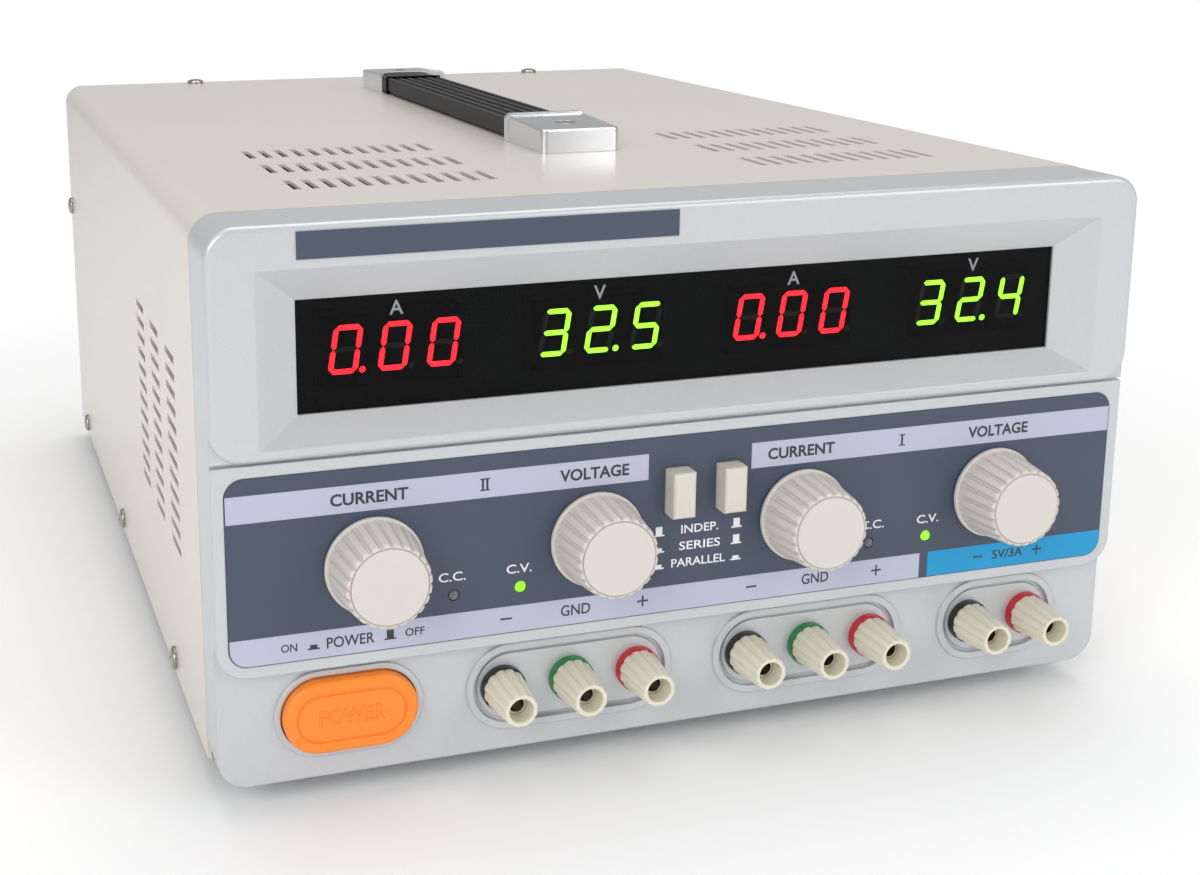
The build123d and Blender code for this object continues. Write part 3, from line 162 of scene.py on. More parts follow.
# %% [markdown]
# Real surfaces are never one flat value. Moulded plastic has a fine grain, paint has a slight
# orange-peel ripple, and hands leave faint patches that change the gloss.
# Each such effect could be a picture laid on the piece. A node group needs none: it is built once and
# used in many materials with its own values. All of them start from a texture on Object coordinates,
# which are metres on the model, so the effect moves with the piece.
# The first group is the grain, a noise so fine that it only shows as tiny dents.

# %% Effect group for grain


def new_group(name, texture_kind, inputs, output):
    """A node group with number inputs and one number output, round a texture on the object."""
    group = bpy.data.node_groups.new(name, "ShaderNodeTree")
    for label, value in inputs.items():
        socket = group.interface.new_socket(label, in_out="INPUT", socket_type="NodeSocketFloat")
        socket.default_value = value
    group.interface.new_socket(output, in_out="OUTPUT", socket_type="NodeSocketFloat")
    start = group.nodes.new("NodeGroupInput")
    end = group.nodes.new("NodeGroupOutput")
    place = group.nodes.new("ShaderNodeTexCoord")
    texture = group.nodes.new(texture_kind)
    group.links.new(place.outputs["Object"], texture.inputs["Vector"])
    group.links.new(start.outputs["Scale"], texture.inputs["Scale"])
    return group, start, end, texture


GRAIN, start, end, noise = new_group("surface_grain", "ShaderNodeTexNoise",
                                     {"Scale": 1500.0, "Detail": 2.0}, "Height")
GRAIN.links.new(start.outputs["Detail"], noise.inputs["Detail"])
GRAIN.links.new(noise.outputs["Fac"], end.inputs["Height"])
print("effect group:", GRAIN.name)

# %% [markdown]
# The other two effects are a value that wanders round a middle. Handling makes broad, faint patches
# of more and less gloss, from a soft noise. Flakes in a sprayed paint are tiny cells, each a little
# lighter or darker than its neighbours, from a Voronoi texture.
# Both take a half off the texture's 0 to 1, scale what is left, and add the middle back.

# %% Effect groups for handling and flakes


def swing_node(group, source, spread):
    """A node that gives source less a half, times spread, plus its third input."""
    centre = group.nodes.new("ShaderNodeMath")
    centre.operation = "SUBTRACT"
    centre.inputs[1].default_value = 0.5
    swing = group.nodes.new("ShaderNodeMath")
    swing.operation = "MULTIPLY_ADD"
    group.links.new(source, centre.inputs[0])
    group.links.new(centre.outputs["Value"], swing.inputs[0])
    group.links.new(spread, swing.inputs[1])
    return swing


HANDLING, start, end, noise = new_group("handling_patches", "ShaderNodeTexNoise",
                                        {"Roughness": 0.4, "Spread": 0.06, "Scale": 14.0}, "Roughness")
noise.inputs["Detail"].default_value = 4.0
swing = swing_node(HANDLING, noise.outputs["Fac"], start.outputs["Spread"])
HANDLING.links.new(start.outputs["Roughness"], swing.inputs[2])
HANDLING.links.new(swing.outputs["Value"], end.inputs["Roughness"])

FLAKE, start, end, cells = new_group("metal_flake", "ShaderNodeTexVoronoi",
                                     {"Scale": 2600.0, "Strength": 0.1}, "Shade")
split = FLAKE.nodes.new("ShaderNodeSeparateColor")
FLAKE.links.new(cells.outputs["Color"], split.inputs["Color"])
swing = swing_node(FLAKE, split.outputs["Red"], start.outputs["Strength"])
swing.inputs[2].default_value = 1.0
FLAKE.links.new(swing.outputs["Value"], end.inputs["Shade"])
print("effect groups:", [g.name for g in bpy.data.node_groups])

# %% [markdown]
# A group is placed in a material as one node. The helpers below place one, set its values and join it
# to the shader: relief goes through a Bump node to Normal, and patches go to Roughness.
# A Bevel node in front of the bump rounds the light at sharp sheet and moulding edges by a fraction of
# a millimetre, as paint and moulding do. Rounding the solids would do it too, at many more faces.

# %% Placing effects
BEVEL_SAMPLES = 4


def place_group(material, group, **values):
    """A node that holds a group, with values for its named inputs."""
    node = add(material, "ShaderNodeGroup")
    node.node_tree = group
    return fill(node, **values)


def give_relief(material, grain, depth, strength, edge):
    """Fine grain as a bump, on top of softly rounded edges where edge is more than nothing."""
    dents = place_group(material, GRAIN, Scale=grain)
    bump = add(material, "ShaderNodeBump", Strength=strength, Distance=depth)
    link(material, dents.outputs["Height"], bump.inputs["Height"])
    if edge:
        soften = add(material, "ShaderNodeBevel", Radius=edge)
        soften.samples = BEVEL_SAMPLES
        link(material, soften.outputs["Normal"], bump.inputs["Normal"])
    link(material, bump.outputs["Normal"], shader_of(material).inputs["Normal"])


def give_patches(material, roughness, spread, patches):
    """Roughness that wanders a little over the surface."""
    wander = place_group(material, HANDLING, Roughness=roughness, Spread=spread, Scale=patches)
    link(material, wander.outputs["Roughness"], shader_of(material).inputs["Roughness"])


def finish(name, color, roughness, metallic=0.0, grain=900.0, depth=0.00002, strength=0.4,
           edge=0.0, spread=0.0, patches=14.0):
    """A material with grain this fine and deep, and with patches where spread is more than nothing."""
    material = new_material(name, color, roughness, metallic)
    give_relief(material, grain, depth, strength, edge)
    if spread:
        give_patches(material, roughness, spread, patches)
    return material


def dress(material, *names):
    """Give solid pieces a finished material."""
    for name in names:
        nodes[name].data.materials.clear()
        nodes[name].data.materials.append(material)


print("helpers ready")

# %% [markdown]
# The cover is folded sheet steel with a warm beige-grey enamel. It is semi-gloss: the handle mirrors
# softly in the top. A low roughness with a very small ripple gives that. The rear panel is cut
# from the same painted sheet. The tray underneath is bare zinc-plated steel.

# %% Painted and plated sheet
cover_paint = finish("cover_enamel", tone(219, 212, 204), 0.24, depth=0.000012, strength=0.25,
                     edge=0.0004, spread=0.06)
dress(cover_paint, "top_cover", "rear_panel")
zinc = finish("zinc_plate", tone(176, 180, 184), 0.38, 1.0, grain=400.0, edge=0.0003, spread=0.25,
              patches=40.0)
dress(zinc, "chassis_tray", "pot_bodies")
print("painted: cover and rear panel, plated: tray and potentiometers")

# %% [markdown]
# The front moulding is plastic sprayed silver-grey. Close up, tiny metal flakes make it sparkle.
# One flat colour would look like bare plastic, so every small cell gets its own random value, and
# that value makes the base colour a few percent lighter or darker from cell to cell.
# A thin clear coat gives the spray its sheen.

# %% Silver-grey spray
spray_color = tone(200, 203, 206)
silver = finish("silver_spray", spray_color, 0.36, 0.35, grain=1400.0, depth=0.00001, strength=0.25,
                edge=0.0005, spread=0.06)
fill(shader_of(silver), Coat_Weight=0.25, Coat_Roughness=0.25)
flakes = place_group(silver, FLAKE, Scale=4200.0, Strength=0.05)
silver_mix = add(silver, "ShaderNodeMix")
silver_mix.data_type = "RGBA"
silver_mix.blend_type = "MULTIPLY"
fill(silver_mix, Factor=1.0, A=spray_color)
link(silver, flakes.outputs["Shade"], silver_mix.inputs["B"])
link(silver, silver_mix.outputs["Result"], shader_of(silver).inputs["Base Color"])
dress(silver, "front_bezel")
print("sprayed: front moulding")

# %% [markdown]
# Mouldings come in a few plastics: cream for the terminal nuts, off-white for knobs and push buttons,
# orange for the power button, black for what sits behind. They share one recipe with other numbers:
# a soft grain, a slight sheen and a little light let into the surface where the plastic is pale.

# %% Moulded plastics


def moulded(name, color, roughness, glow=0.0):
    """A moulded plastic, with light scattered under the surface where glow is more than nothing."""
    material = finish(name, color, roughness, grain=1200.0, edge=0.0003, spread=0.06, patches=30.0)
    if glow:
        fill(shader_of(material), Subsurface_Weight=glow, Subsurface_Scale=0.002,
             Subsurface_Radius=(1.0, 0.8, 0.6))
    return material


knob_plastic = moulded("knob_plastic", tone(213, 207, 201), 0.42, glow=0.05)
button_plastic = moulded("button_plastic", tone(214, 207, 196), 0.38, glow=0.05)
cream_plastic = moulded("cream_plastic", tone(224, 219, 200), 0.38, glow=0.1)
orange_plastic = moulded("orange_plastic", tone(252, 138, 40), 0.33, glow=0.05)
black_plastic = moulded("black_plastic", tone(28, 28, 30), 0.42)
matt_black = moulded("matt_black", tone(22, 22, 23), 0.6)
red_plastic = moulded("red_plastic", tone(190, 20, 36), 0.35)
green_plastic = moulded("green_plastic", tone(10, 122, 62), 0.35)
dress(knob_plastic, "current_knob_1", "current_knob_2", "voltage_knob_1", "voltage_knob_2")
dress(button_plastic, "track_button_left", "track_button_right")
dress(cream_plastic, *[f"post_nut_{number}" for number in range(1, 9)])
dress(orange_plastic, "power_button")
dress(black_plastic, "post_collars_black", "power_switch", "track_switches", "mains_inlet",
      "voltage_selector", "fuse_drawer")
dress(matt_black, "fan_frame", "fan_rotor", "power_transistors", "heatsink")
dress(red_plastic, "post_collars_red", "selector_slider")
dress(green_plastic, "post_collars_green")
print("moulded:", [m.name for m in bpy.data.materials if "plastic" in m.name])

# %% [markdown]
# The handle's end caps are pressed metal with bright chrome, and its strap and the feet are black
# rubber. Chrome is a metal with almost no roughness, so it mostly shows what it mirrors. Rubber is
# rough, in faint patches. Turned pieces are nickel or aluminium, a little rougher than chrome.

# %% Chrome, turned metal and rubber
chrome = finish("chrome_plate", tone(222, 224, 228), 0.1, 1.0, grain=250.0, depth=0.00003,
                strength=0.25, edge=0.0004, spread=0.08, patches=60.0)
nickel = finish("nickel_plate", tone(206, 200, 186), 0.24, 1.0, edge=0.0002)
alloy = finish("turned_alloy", tone(190, 191, 194), 0.32, 1.0, edge=0.0002)
rubber = finish("black_rubber", tone(42, 40, 42), 0.6, grain=1100.0, depth=0.00004, strength=0.6,
                edge=0.0003, spread=0.2, patches=25.0)
dress(chrome, "handle_cap_front", "handle_cap_rear")
dress(nickel, "post_stems", "post_back_nuts")
dress(alloy, "current_shaft_1", "current_shaft_2", "voltage_shaft_1", "voltage_shaft_2")
dress(rubber, "handle_strap", "feet")
print("metal and rubber done")

# %% [markdown]
# The overlay is a printed film with a fine satin grain, dark blue-grey. The name strip is of the same
# film. Behind the cover, the boards are green laminate, the transformer's laminations are varnished
# steel, its winding is wrapped in yellow tape, and the capacitors wear dark blue sleeves. They are
# seen only through the vents, so a colour and a grain are enough.

# %% Film and inner pieces
film = finish("overlay_film", tone(66, 76, 94), 0.45, grain=2200.0, strength=0.5, spread=0.08)
laminate = finish("board_laminate", tone(30, 92, 52), 0.35, grain=700.0, depth=0.00003, strength=0.5)
varnish = finish("varnished_steel", tone(70, 66, 62), 0.45, 0.6, grain=500.0, depth=0.00005,
                 strength=0.6)
tape = finish("winding_tape", tone(214, 186, 84), 0.4, grain=300.0, depth=0.00005, strength=0.5)
sleeve = finish("blue_sleeve", tone(34, 44, 88), 0.3, grain=300.0, depth=0.00003)
dress(film, "panel_overlay", "name_strip")
dress(laminate, "meter_board", "control_board", "regulator_board")
dress(varnish, "transformer_core")
dress(tape, "transformer_coils")
dress(sleeve, "filter_capacitors")
print("film and inner pieces done")

# %% [markdown]
# The window is smoked acrylic. It looks black because its tint takes most of the light twice, once on
# the way in and once on the way out, while the numerals behind it shine through only once.
# Transmission makes it clear, and a dark grey base colour is the tint. Its index of refraction is set
# lower than that of real acrylic, so that the studio mirrors in it only faintly, as in the photo.
# The status lamps are small diffused lenses: two are dark, and two shine green with their own light.

# %% Window, numeral modules and lamps
SMOKE_TINT = (0.12, 0.12, 0.13, 1.0)
smoke = new_material("smoked_acrylic", SMOKE_TINT, 0.02, Transmission_Weight=1.0, IOR=1.2,
                     Specular_IOR_Level=0.12)
dress(smoke, "display_window")
module_face = finish("module_face", tone(20, 18, 20), 0.6, strength=0.3)
dress(module_face, "current_displays", "voltage_displays")


def lamp_material(name, color, glow, strength):
    """A diffused lamp body that shines with its own light."""
    return new_material(name, color, 0.25, Emission_Color=glow, Emission_Strength=strength,
                        Coat_Weight=0.5)


unlit_lamp = lamp_material("unlit_lamp", tone(96, 102, 112), tone(0, 0, 0), 0.0)
lit_lamp = lamp_material("lit_lamp", tone(130, 210, 40), tone(130, 255, 20), 1.0)
dress(unlit_lamp, "current_lamps")
dress(lit_lamp, "voltage_lamps")
print("window, modules and lamps done")

# %% [markdown]
# Printing is ink a few hundredths of a millimetre thick. It could be a picture on the film. Here each
# mark is a flat mesh with that much thickness, just in front of the film, so its edges stay sharp at
# any distance and it has its own ink. These helpers turn an outline into such a mesh.

# %% Flat shapes


def as_mesh(shape, name):
    """A mesh from a bmesh, with its faces turned outwards."""
    bmesh.ops.recalc_face_normals(shape, faces=shape.faces)
    mesh = bpy.data.meshes.new(name)
    shape.to_mesh(mesh)
    shape.free()
    return mesh


def prism(front, back, name):
    """A closed mesh between two outlines that have as many points."""
    shape = bmesh.new()
    near = [shape.verts.new(point) for point in front]
    far = [shape.verts.new(point) for point in back]
    shape.faces.new(near)
    shape.faces.new(list(reversed(far)))
    for index in range(len(near)):
        after = (index + 1) % len(near)
        shape.faces.new((near[after], near[index], far[index], far[after]))
    return as_mesh(shape, name)


def outline_mesh(points, y_front, thickness):
    """A mesh from (x, z) millimetres on the front, with its face at y_front, both depths in metres."""
    return prism([at(x, z, y_front) for x, z in points],
                 [at(x, z, y_front + thickness) for x, z in points], "outline")


def box_points(x_low, x_high, z_low, z_high):
    """The four corners of an upright rectangle, in order."""
    return [(x_low, z_low), (x_high, z_low), (x_high, z_high), (x_low, z_high)]


def rounded_points(x_low, x_high, z_low, z_high, radii, steps=6):
    """A rectangle with a radius for its corner lower left, lower right, upper right and upper left."""
    corners = [(x_low, z_low, 180, radii[0]), (x_high, z_low, 270, radii[1]),
               (x_high, z_high, 0, radii[2]), (x_low, z_high, 90, radii[3])]
    points = []
    for x, z, first, radius in corners:
        if not radius:
            points.append((x, z))
            continue
        centre_x = x + radius if x == x_low else x - radius
        centre_z = z + radius if z == z_low else z - radius
        for step in range(steps + 1):
            angle = math.radians(first + 90 * step / steps)
            points.append((centre_x + radius * math.cos(angle), centre_z + radius * math.sin(angle)))
    return points


print("a rounded corner has", len(rounded_points(0, 1, 0, 1, (0.2, 0, 0, 0))) - 3, "points")

# %% [markdown]
# Letters could be drawn point by point. Blender's text is quicker: it is made as a curve with some
# depth, turned into a mesh, and fitted to the height and width that the letters have on the real
# front. The heft fattens the strokes, which makes a word bold.
# Many small meshes then become one piece, so that a whole set of marks is one object.

# %% Letters and pieces
PLAIN_HEFT, BOLD_HEFT = 0.012, 0.026
HALF_DEPTH = 0.5


def settled_mesh(thing):
    """The mesh of an object with its text or modifiers worked out. The object is taken away."""
    bpy.context.view_layer.update()
    settled = thing.evaluated_get(bpy.context.evaluated_depsgraph_get())
    mesh = bpy.data.meshes.new_from_object(settled)
    bpy.data.objects.remove(thing)
    return mesh


def letter_mesh(words, x, z, height, y_front, thickness, width=None, heft=PLAIN_HEFT):
    """Words centred at x and z, with a height and, if it is given, a width, all in millimetres."""
    curve = bpy.data.curves.new("letters", "FONT")
    curve.body = words
    curve.resolution_u = 3
    curve.offset = heft
    curve.extrude = HALF_DEPTH
    mesh = settled_mesh(new_object("letters", curve))
    bpy.data.curves.remove(curve)
    xs = [v.co.x for v in mesh.vertices]
    ys = [v.co.y for v in mesh.vertices]
    tall = height * MM / (max(ys) - min(ys))
    wide = tall if width is None else width * MM / (max(xs) - min(xs))
    middle = Vector(((max(xs) + min(xs)) / 2, (max(ys) + min(ys)) / 2, 0))
    centre = at(x, z, y_front)
    for vertex in mesh.vertices:
        flat = vertex.co - middle
        vertex.co = (centre.x + flat.x * wide, y_front + (HALF_DEPTH - flat.z) * thickness,
                     centre.z + flat.y * tall)
    return mesh


def piece(name, meshes, material, body):
    """One object from several meshes, with one material, that rides on a body."""
    joined = bmesh.new()
    for mesh in meshes:
        joined.from_mesh(mesh)
        bpy.data.meshes.remove(mesh)
    final = bpy.data.meshes.new(name)
    joined.to_mesh(final)
    joined.free()
    final.materials.append(material)
    thing = new_object(name, final)
    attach(thing, body)
    return thing


print("letters and pieces can be made")

# %% [markdown]
# The overlay carries pale lilac bands behind the lettering and one bright blue band over the fixed
# output. The bands reach the film's rounded corners, so their outlines are rounded there too.
# They lie on the film with one thickness of ink.

# %% Bands on the overlay
INK = 0.00003
FILM_EDGE = 129.1
FILM_CORNER = 4.7
UPPER_BAND = (73.2, 80.4)
LOWER_BAND = (35.1, 42.4)
BLUE_BAND = (35.1, 42.5)


def ink(name, color):
    """A printing ink: flat colour with the film's fine grain."""
    return finish(name, color, 0.45, grain=2200.0)


lilac_ink = ink("lilac_ink", tone(184, 188, 206))
blue_ink = ink("blue_ink", tone(0, 150, 205))
band_y = overlay_y - INK
bands = [outline_mesh(box_points(-FILM_EDGE, -15.8, *UPPER_BAND), band_y, INK),
         outline_mesh(box_points(14.5, FILM_EDGE, *UPPER_BAND), band_y, INK),
         outline_mesh(rounded_points(-FILM_EDGE, 68.6, *LOWER_BAND, (FILM_CORNER, 0, 0, 0)), band_y, INK)]
piece("lilac_bands", bands, lilac_ink, "case")
blue_outline = rounded_points(71.3, FILM_EDGE, *BLUE_BAND, (0, FILM_CORNER, 0, 0))
piece("blue_band", [outline_mesh(blue_outline, band_y, INK)], blue_ink, "case")
print("bands printed:", len(bands), "lilac and 1 blue")

# %% [markdown]
# The signs are small boxes: minus and plus bars, the channel numerals with one or two uprights, and
# the push-button marks, a tall block for a button that is out and a low one for a button that is in.
# A font has such signs too, but boxes get just the strokes that the real front has, with few faces.

# %% Signs
SIGN_SIZE = 3.2
SIGN_STROKE = 0.5
UPRIGHT_WIDE, UPRIGHT_TALL, UPRIGHT_PITCH = 0.6, 2.65, 1.2
CAP_WIDE, CAP_WIDER, CAP_TALL, CAP_RISE = 1.8, 0.9, 0.35, 1.5
BASE_WIDE, BASE_TALL, BASE_DROP = 3.2, 0.4, 1.05
BLOCK_WIDE, BLOCK_PRESSED, BLOCK_OUT = 1.9, 0.9, 2.3


def bar(x, z, width, height, y_front):
    """A filled rectangle centred at x and z."""
    return outline_mesh(box_points(x - width / 2, x + width / 2, z - height / 2, z + height / 2),
                        y_front, INK)


def minus_sign(x, z, y_front):
    """A single bar."""
    return [bar(x, z, SIGN_SIZE, SIGN_STROKE, y_front)]


def plus_sign(x, z, y_front):
    """Two crossed bars, the upright one in two halves so that they don't overlap."""
    half = (SIGN_SIZE - SIGN_STROKE) / 2
    rise = SIGN_STROKE / 2 + half / 2
    return minus_sign(x, z, y_front) + [bar(x, z + rise, SIGN_STROKE, half, y_front),
                                        bar(x, z - rise, SIGN_STROKE, half, y_front)]


def numeral(x, z, count, y_front):
    """A channel numeral: one or two uprights between two short lines."""
    wide = CAP_WIDE + CAP_WIDER * (count - 1)
    marks = [bar(x, z + CAP_RISE, wide, CAP_TALL, y_front), bar(x, z - CAP_RISE, wide, CAP_TALL, y_front)]
    for index in range(count):
        upright_x = x + (index - (count - 1) / 2) * UPRIGHT_PITCH
        marks.append(bar(upright_x, z, UPRIGHT_WIDE, UPRIGHT_TALL, y_front))
    return marks


def push_mark(x, z, pressed, y_front):
    """A push-button mark: a base line with a low block when pressed, and a tall one when out."""
    tall = BLOCK_PRESSED if pressed else BLOCK_OUT
    block_z = z - BASE_DROP + BASE_TALL / 2 + tall / 2
    return [bar(x, z - BASE_DROP, BASE_WIDE, BASE_TALL, y_front),
            bar(x, block_z, BLOCK_WIDE, tall, y_front)]


print("signs ready")

# %% [markdown]
# Dark letters stand on the lilac and blue bands, and white ones on the dark film. The dark ones lie on
# a band that is itself ink, so they sit one more thickness forward. A row of the tables is a word, the
# place of its middle, its height and its width, all in millimetres as they are on the real front.

# %% Lettering on the overlay
HEAD_ROW, HEAD_TALL = 76.8, 3.3
SIGN_ROW = 39.0
GROUP_WIDTH = 39.0
POWER_ROW = 38.8
APART_ROW, SERIES_ROW, PARALLEL_ROW = 58.1, 53.4, 48.7
dark_ink = ink("dark_ink", tone(50, 52, 62))
white_ink = ink("white_ink", tone(232, 234, 238))
dark_y = band_y - INK
head_words = [("CURRENT", -92.4, 20.4), ("VOLTAGE", -31.2, 19.6),
              ("CURRENT", 29.6, 20.4), ("VOLTAGE", 92.0, 19.6)]
plain_words = [("POWER", -97.9, POWER_ROW, 3.0, 12.6), ("ON", -114.0, POWER_ROW, 2.2, 4.2),
               ("OFF", -80.8, 38.9, 2.2, 5.2), ("GND", -36.2, 39.1, 3.1, 8.4),
               ("GND", 35.4, 39.1, 3.1, 8.4)]
marks = [letter_mesh(word, x, HEAD_ROW, HEAD_TALL, dark_y, INK, width, BOLD_HEFT)
         for word, x, width in head_words]
marks += [letter_mesh(word, x, z, height, dark_y, INK, width) for word, x, z, height, width in plain_words]
marks += numeral(-61.6, HEAD_ROW, 2, dark_y) + numeral(60.9, HEAD_ROW, 1, dark_y)
for x in (-55.8, 15.7):
    marks += minus_sign(x, SIGN_ROW, dark_y) + plus_sign(x + GROUP_WIDTH, SIGN_ROW, dark_y)
marks += minus_sign(87.9, SIGN_ROW, dark_y) + plus_sign(107.8, SIGN_ROW, dark_y)
marks.append(letter_mesh("5V/3A", 97.9, SIGN_ROW, 2.7, dark_y, INK, 10.2))
marks += push_mark(-107.6, POWER_ROW, True, dark_y) + push_mark(-87.4, POWER_ROW, False, dark_y)
piece("dark_lettering", marks, dark_ink, "case")

white_words = [("C.C.", -70.6, 52.6, 2.5, 7.4), ("C.V.", -52.2, 52.7, 2.5, 7.0),
               ("C.C.", 52.8, 52.8, 2.5, 7.4), ("C.V.", 70.6, 52.6, 2.5, 7.0),
               ("INDEP.", -0.4, APART_ROW, 2.4, 11.0), ("SERIES", -0.3, SERIES_ROW, 2.4, 12.2),
               ("PARALLEL", -0.6, PARALLEL_ROW, 2.4, 16.0)]
marks = [letter_mesh(word, x, z, height, band_y, INK, width) for word, x, z, height, width in white_words]
for row, left_in, right_in in ((APART_ROW, False, False), (SERIES_ROW, True, False),
                               (PARALLEL_ROW, True, True)):
    marks += push_mark(-12.4, row, left_in, band_y) + push_mark(10.6, row, right_in, band_y)
piece("white_lettering", marks, white_ink, "case")
print("words printed:", len(head_words) + len(plain_words) + 1, "dark and", len(white_words), "white")

# %% [markdown]
# Each numeral is seven bars and a point behind the smoked window. The digits lean to the right.
# A digit could be cut from a font, but a font has no such mitres. Here a bar is a six-sided outline
# with pointed ends, so neighbouring bars nearly touch, and each one is either lit or not.

# %% Shape of a digit
LEAN = math.tan(math.radians(9))
STROKE = 1.25
DIGIT_LOW, DIGIT_HIGH = 107.5, 120.1
DIGIT_WIDE = 7.6
MITRE_GAP = 0.12
POINT_RADIUS = 0.8
POINT_GAP = 1.3


def bar_outline(start, end, width):
    """A pointed bar between two points, as a six-sided outline."""
    along = (Vector(end) - Vector(start)).normalized()
    side = Vector((-along.y, along.x)) * width / 2
    tip = along * width / 2
    first, last = Vector(start) + along * MITRE_GAP, Vector(end) - along * MITRE_GAP
    return [first, first + tip + side, last - tip + side, last, last - tip - side, first + tip - side]


def digit_bars(centre_x):
    """The seven bars of one digit, as outlines by letter, upright."""
    left, right = centre_x - DIGIT_WIDE / 2 + STROKE / 2, centre_x + DIGIT_WIDE / 2 - STROKE / 2
    low, high = DIGIT_LOW + STROKE / 2, DIGIT_HIGH - STROKE / 2
    middle = (low + high) / 2
    ends = {"a": ((left, high), (right, high)), "b": ((right, middle), (right, high)),
            "c": ((right, low), (right, middle)), "d": ((left, low), (right, low)),
            "e": ((left, low), (left, middle)), "f": ((left, middle), (left, high)),
            "g": ((left, middle), (right, middle))}
    return {letter: bar_outline(start, end, STROKE) for letter, (start, end) in ends.items()}


def point_outline(digit_x):
    """The round point to the right of a digit, upright."""
    point_x, point_z = digit_x + DIGIT_WIDE / 2 + POINT_GAP, DIGIT_LOW + POINT_RADIUS
    return [(point_x + POINT_RADIUS * math.cos(math.radians(angle)),
             point_z + POINT_RADIUS * math.sin(math.radians(angle))) for angle in range(0, 360, 30)]


def lean(points):
    """The outline sheared to the right about the digit's middle height."""
    middle = (DIGIT_LOW + DIGIT_HIGH) / 2
    return [(x + (z - middle) * LEAN, z) for x, z in points]


print("a digit is", round(DIGIT_HIGH - DIGIT_LOW, 1), "mm tall and has", len(digit_bars(0)), "bars")

# %% [markdown]
# A reading is three digits on a module. Lit bars and the lit point shine with their own light, red
# for current and green for voltage. The others are only a little paler than the module's face, as
# on a real module in daylight. The letters A and V are printed on the window itself.

# %% Readings behind the window
LIT = {"0": "abcdef", "2": "abged", "3": "abgcd", "4": "fgbc", "5": "afgcd"}
DIGIT_PITCH = 12.9
DIGIT_SHIFT = 0.8
SEGMENT = 0.0003


def numeral_sheets(words, centre_x, face_y):
    """Lit and unlit bars of a three-digit reading such as 32.5, on a module whose face is at face_y."""
    lit, dark = [], []
    digits = words.replace(".", "")
    point_after = words.index(".") - 1
    for index, character in enumerate(digits):
        digit_x = centre_x + DIGIT_SHIFT + (index - 1) * DIGIT_PITCH
        for letter, outline in digit_bars(digit_x).items():
            target = lit if letter in LIT[character] else dark
            target.append(outline_mesh(lean(outline), face_y - SEGMENT, SEGMENT))
        target = lit if index == point_after else dark
        target.append(outline_mesh(lean(point_outline(digit_x)), face_y - SEGMENT, SEGMENT))
    return lit, dark


def glowing(name, color, strength):
    """A segment that shines with its own light."""
    return new_material(name, color, 0.4, Emission_Color=color, Emission_Strength=strength)


red_glow = glowing("red_glow", (1.0, 0.012, 0.02, 1.0), 9.0)
green_glow = glowing("green_glow", (0.22, 1.0, 0.03, 1.0), 8.0)
dim_segment = new_material("dim_segment", tone(70, 70, 74), 0.5)
readings = [("0.00", -84.0, "current_displays", "red"), ("32.5", -28.0, "voltage_displays", "green"),
            ("0.00", 28.0, "current_displays", "red"), ("32.4", 84.0, "voltage_displays", "green")]
lit_sheets = {"red": [], "green": []}
dim_sheets = []
for words, centre_x, module, color in readings:
    lit, dark = numeral_sheets(words, centre_x, low_y(module))
    lit_sheets[color] += lit
    dim_sheets += dark
piece("red_numerals", lit_sheets["red"], red_glow, "case")
piece("green_numerals", lit_sheets["green"], green_glow, "case")
piece("dim_numerals", dim_sheets, dim_segment, "case")

UNIT_ROW, UNIT_TALL = 124.2, 3.7
unit_words = [("A", -83.3), ("V", -28.4), ("A", 27.9), ("V", 83.9)]
unit_meshes = [letter_mesh(word, x, UNIT_ROW, UNIT_TALL, window_y - INK, INK) for word, x in unit_words]
grey_ink = ink("grey_ink", tone(140, 141, 147))
piece("unit_letters", unit_meshes, grey_ink, "case")
print("readings:", [reading[0] for reading in readings])

# %% [markdown]
# The word on the power button is moulded in, not printed. It is the same orange, a tenth of a
# millimetre proud of the face, so only the light on its edges shows it. A bump in the material would
# be lost in the exported mesh, so it is real letters that ride on the button.

# %% Moulded word on the power button
RELIEF = 0.00012
button_face = low_y("power_button")
power_word = letter_mesh("POWER", -97.8, 18.0, 4.4, button_face - RELIEF, RELIEF, 17.5)
piece("power_word", [power_word], orange_plastic, "power")
print("moulded word on the power button")

# %% [markdown]
# The solid model's knobs and clamping nuts have the right sizes, and their ribs deserve a finer form:
# on a real knob the grooves run out through a rounded front edge, and a real nut has soft ribs.
# Each becomes a stack of rings round its own axis. A ring has a radius, a distance from the back
# and a groove depth, and the groove comes round once for every rib. Cutting the grooves with
# Booleans would work too, but rings give even faces and shade cleanly.

# %% Ringed forms
FLAT_GROOVE = (0,) * 8 + (1,) * 4
SOFT_GROOVE = tuple((1 - math.sin(math.pi * step / 10)) ** 1.4 for step in range(10))
SHARP_ANGLE = math.radians(28)


def ringed_mesh(rings, back, flutes, groove, closed):
    """Rings of (radius, distance, depth) millimetres in front of back, capped, or closed like a tube."""
    body = bmesh.new()
    steps = flutes * len(groove)
    loops = []
    for radius, distance, depth in rings:
        loop = []
        for step in range(steps):
            angle = 2 * math.pi * step / steps
            reach = (radius - depth * groove[step % len(groove)]) * MM
            loop.append(body.verts.new((back.x + reach * math.cos(angle), back.y - distance * MM,
                                        back.z + reach * math.sin(angle))))
        loops.append(loop)
    following = loops[1:] + loops[:1] if closed else loops[1:]
    for first, second in zip(loops, following):
        for step in range(steps):
            after = (step + 1) % steps
            body.faces.new((first[step], first[after], second[after], second[step]))
    if not closed:
        body.faces.new(loops[0])
        body.faces.new(loops[-1])
    return as_mesh(body, "ringed")


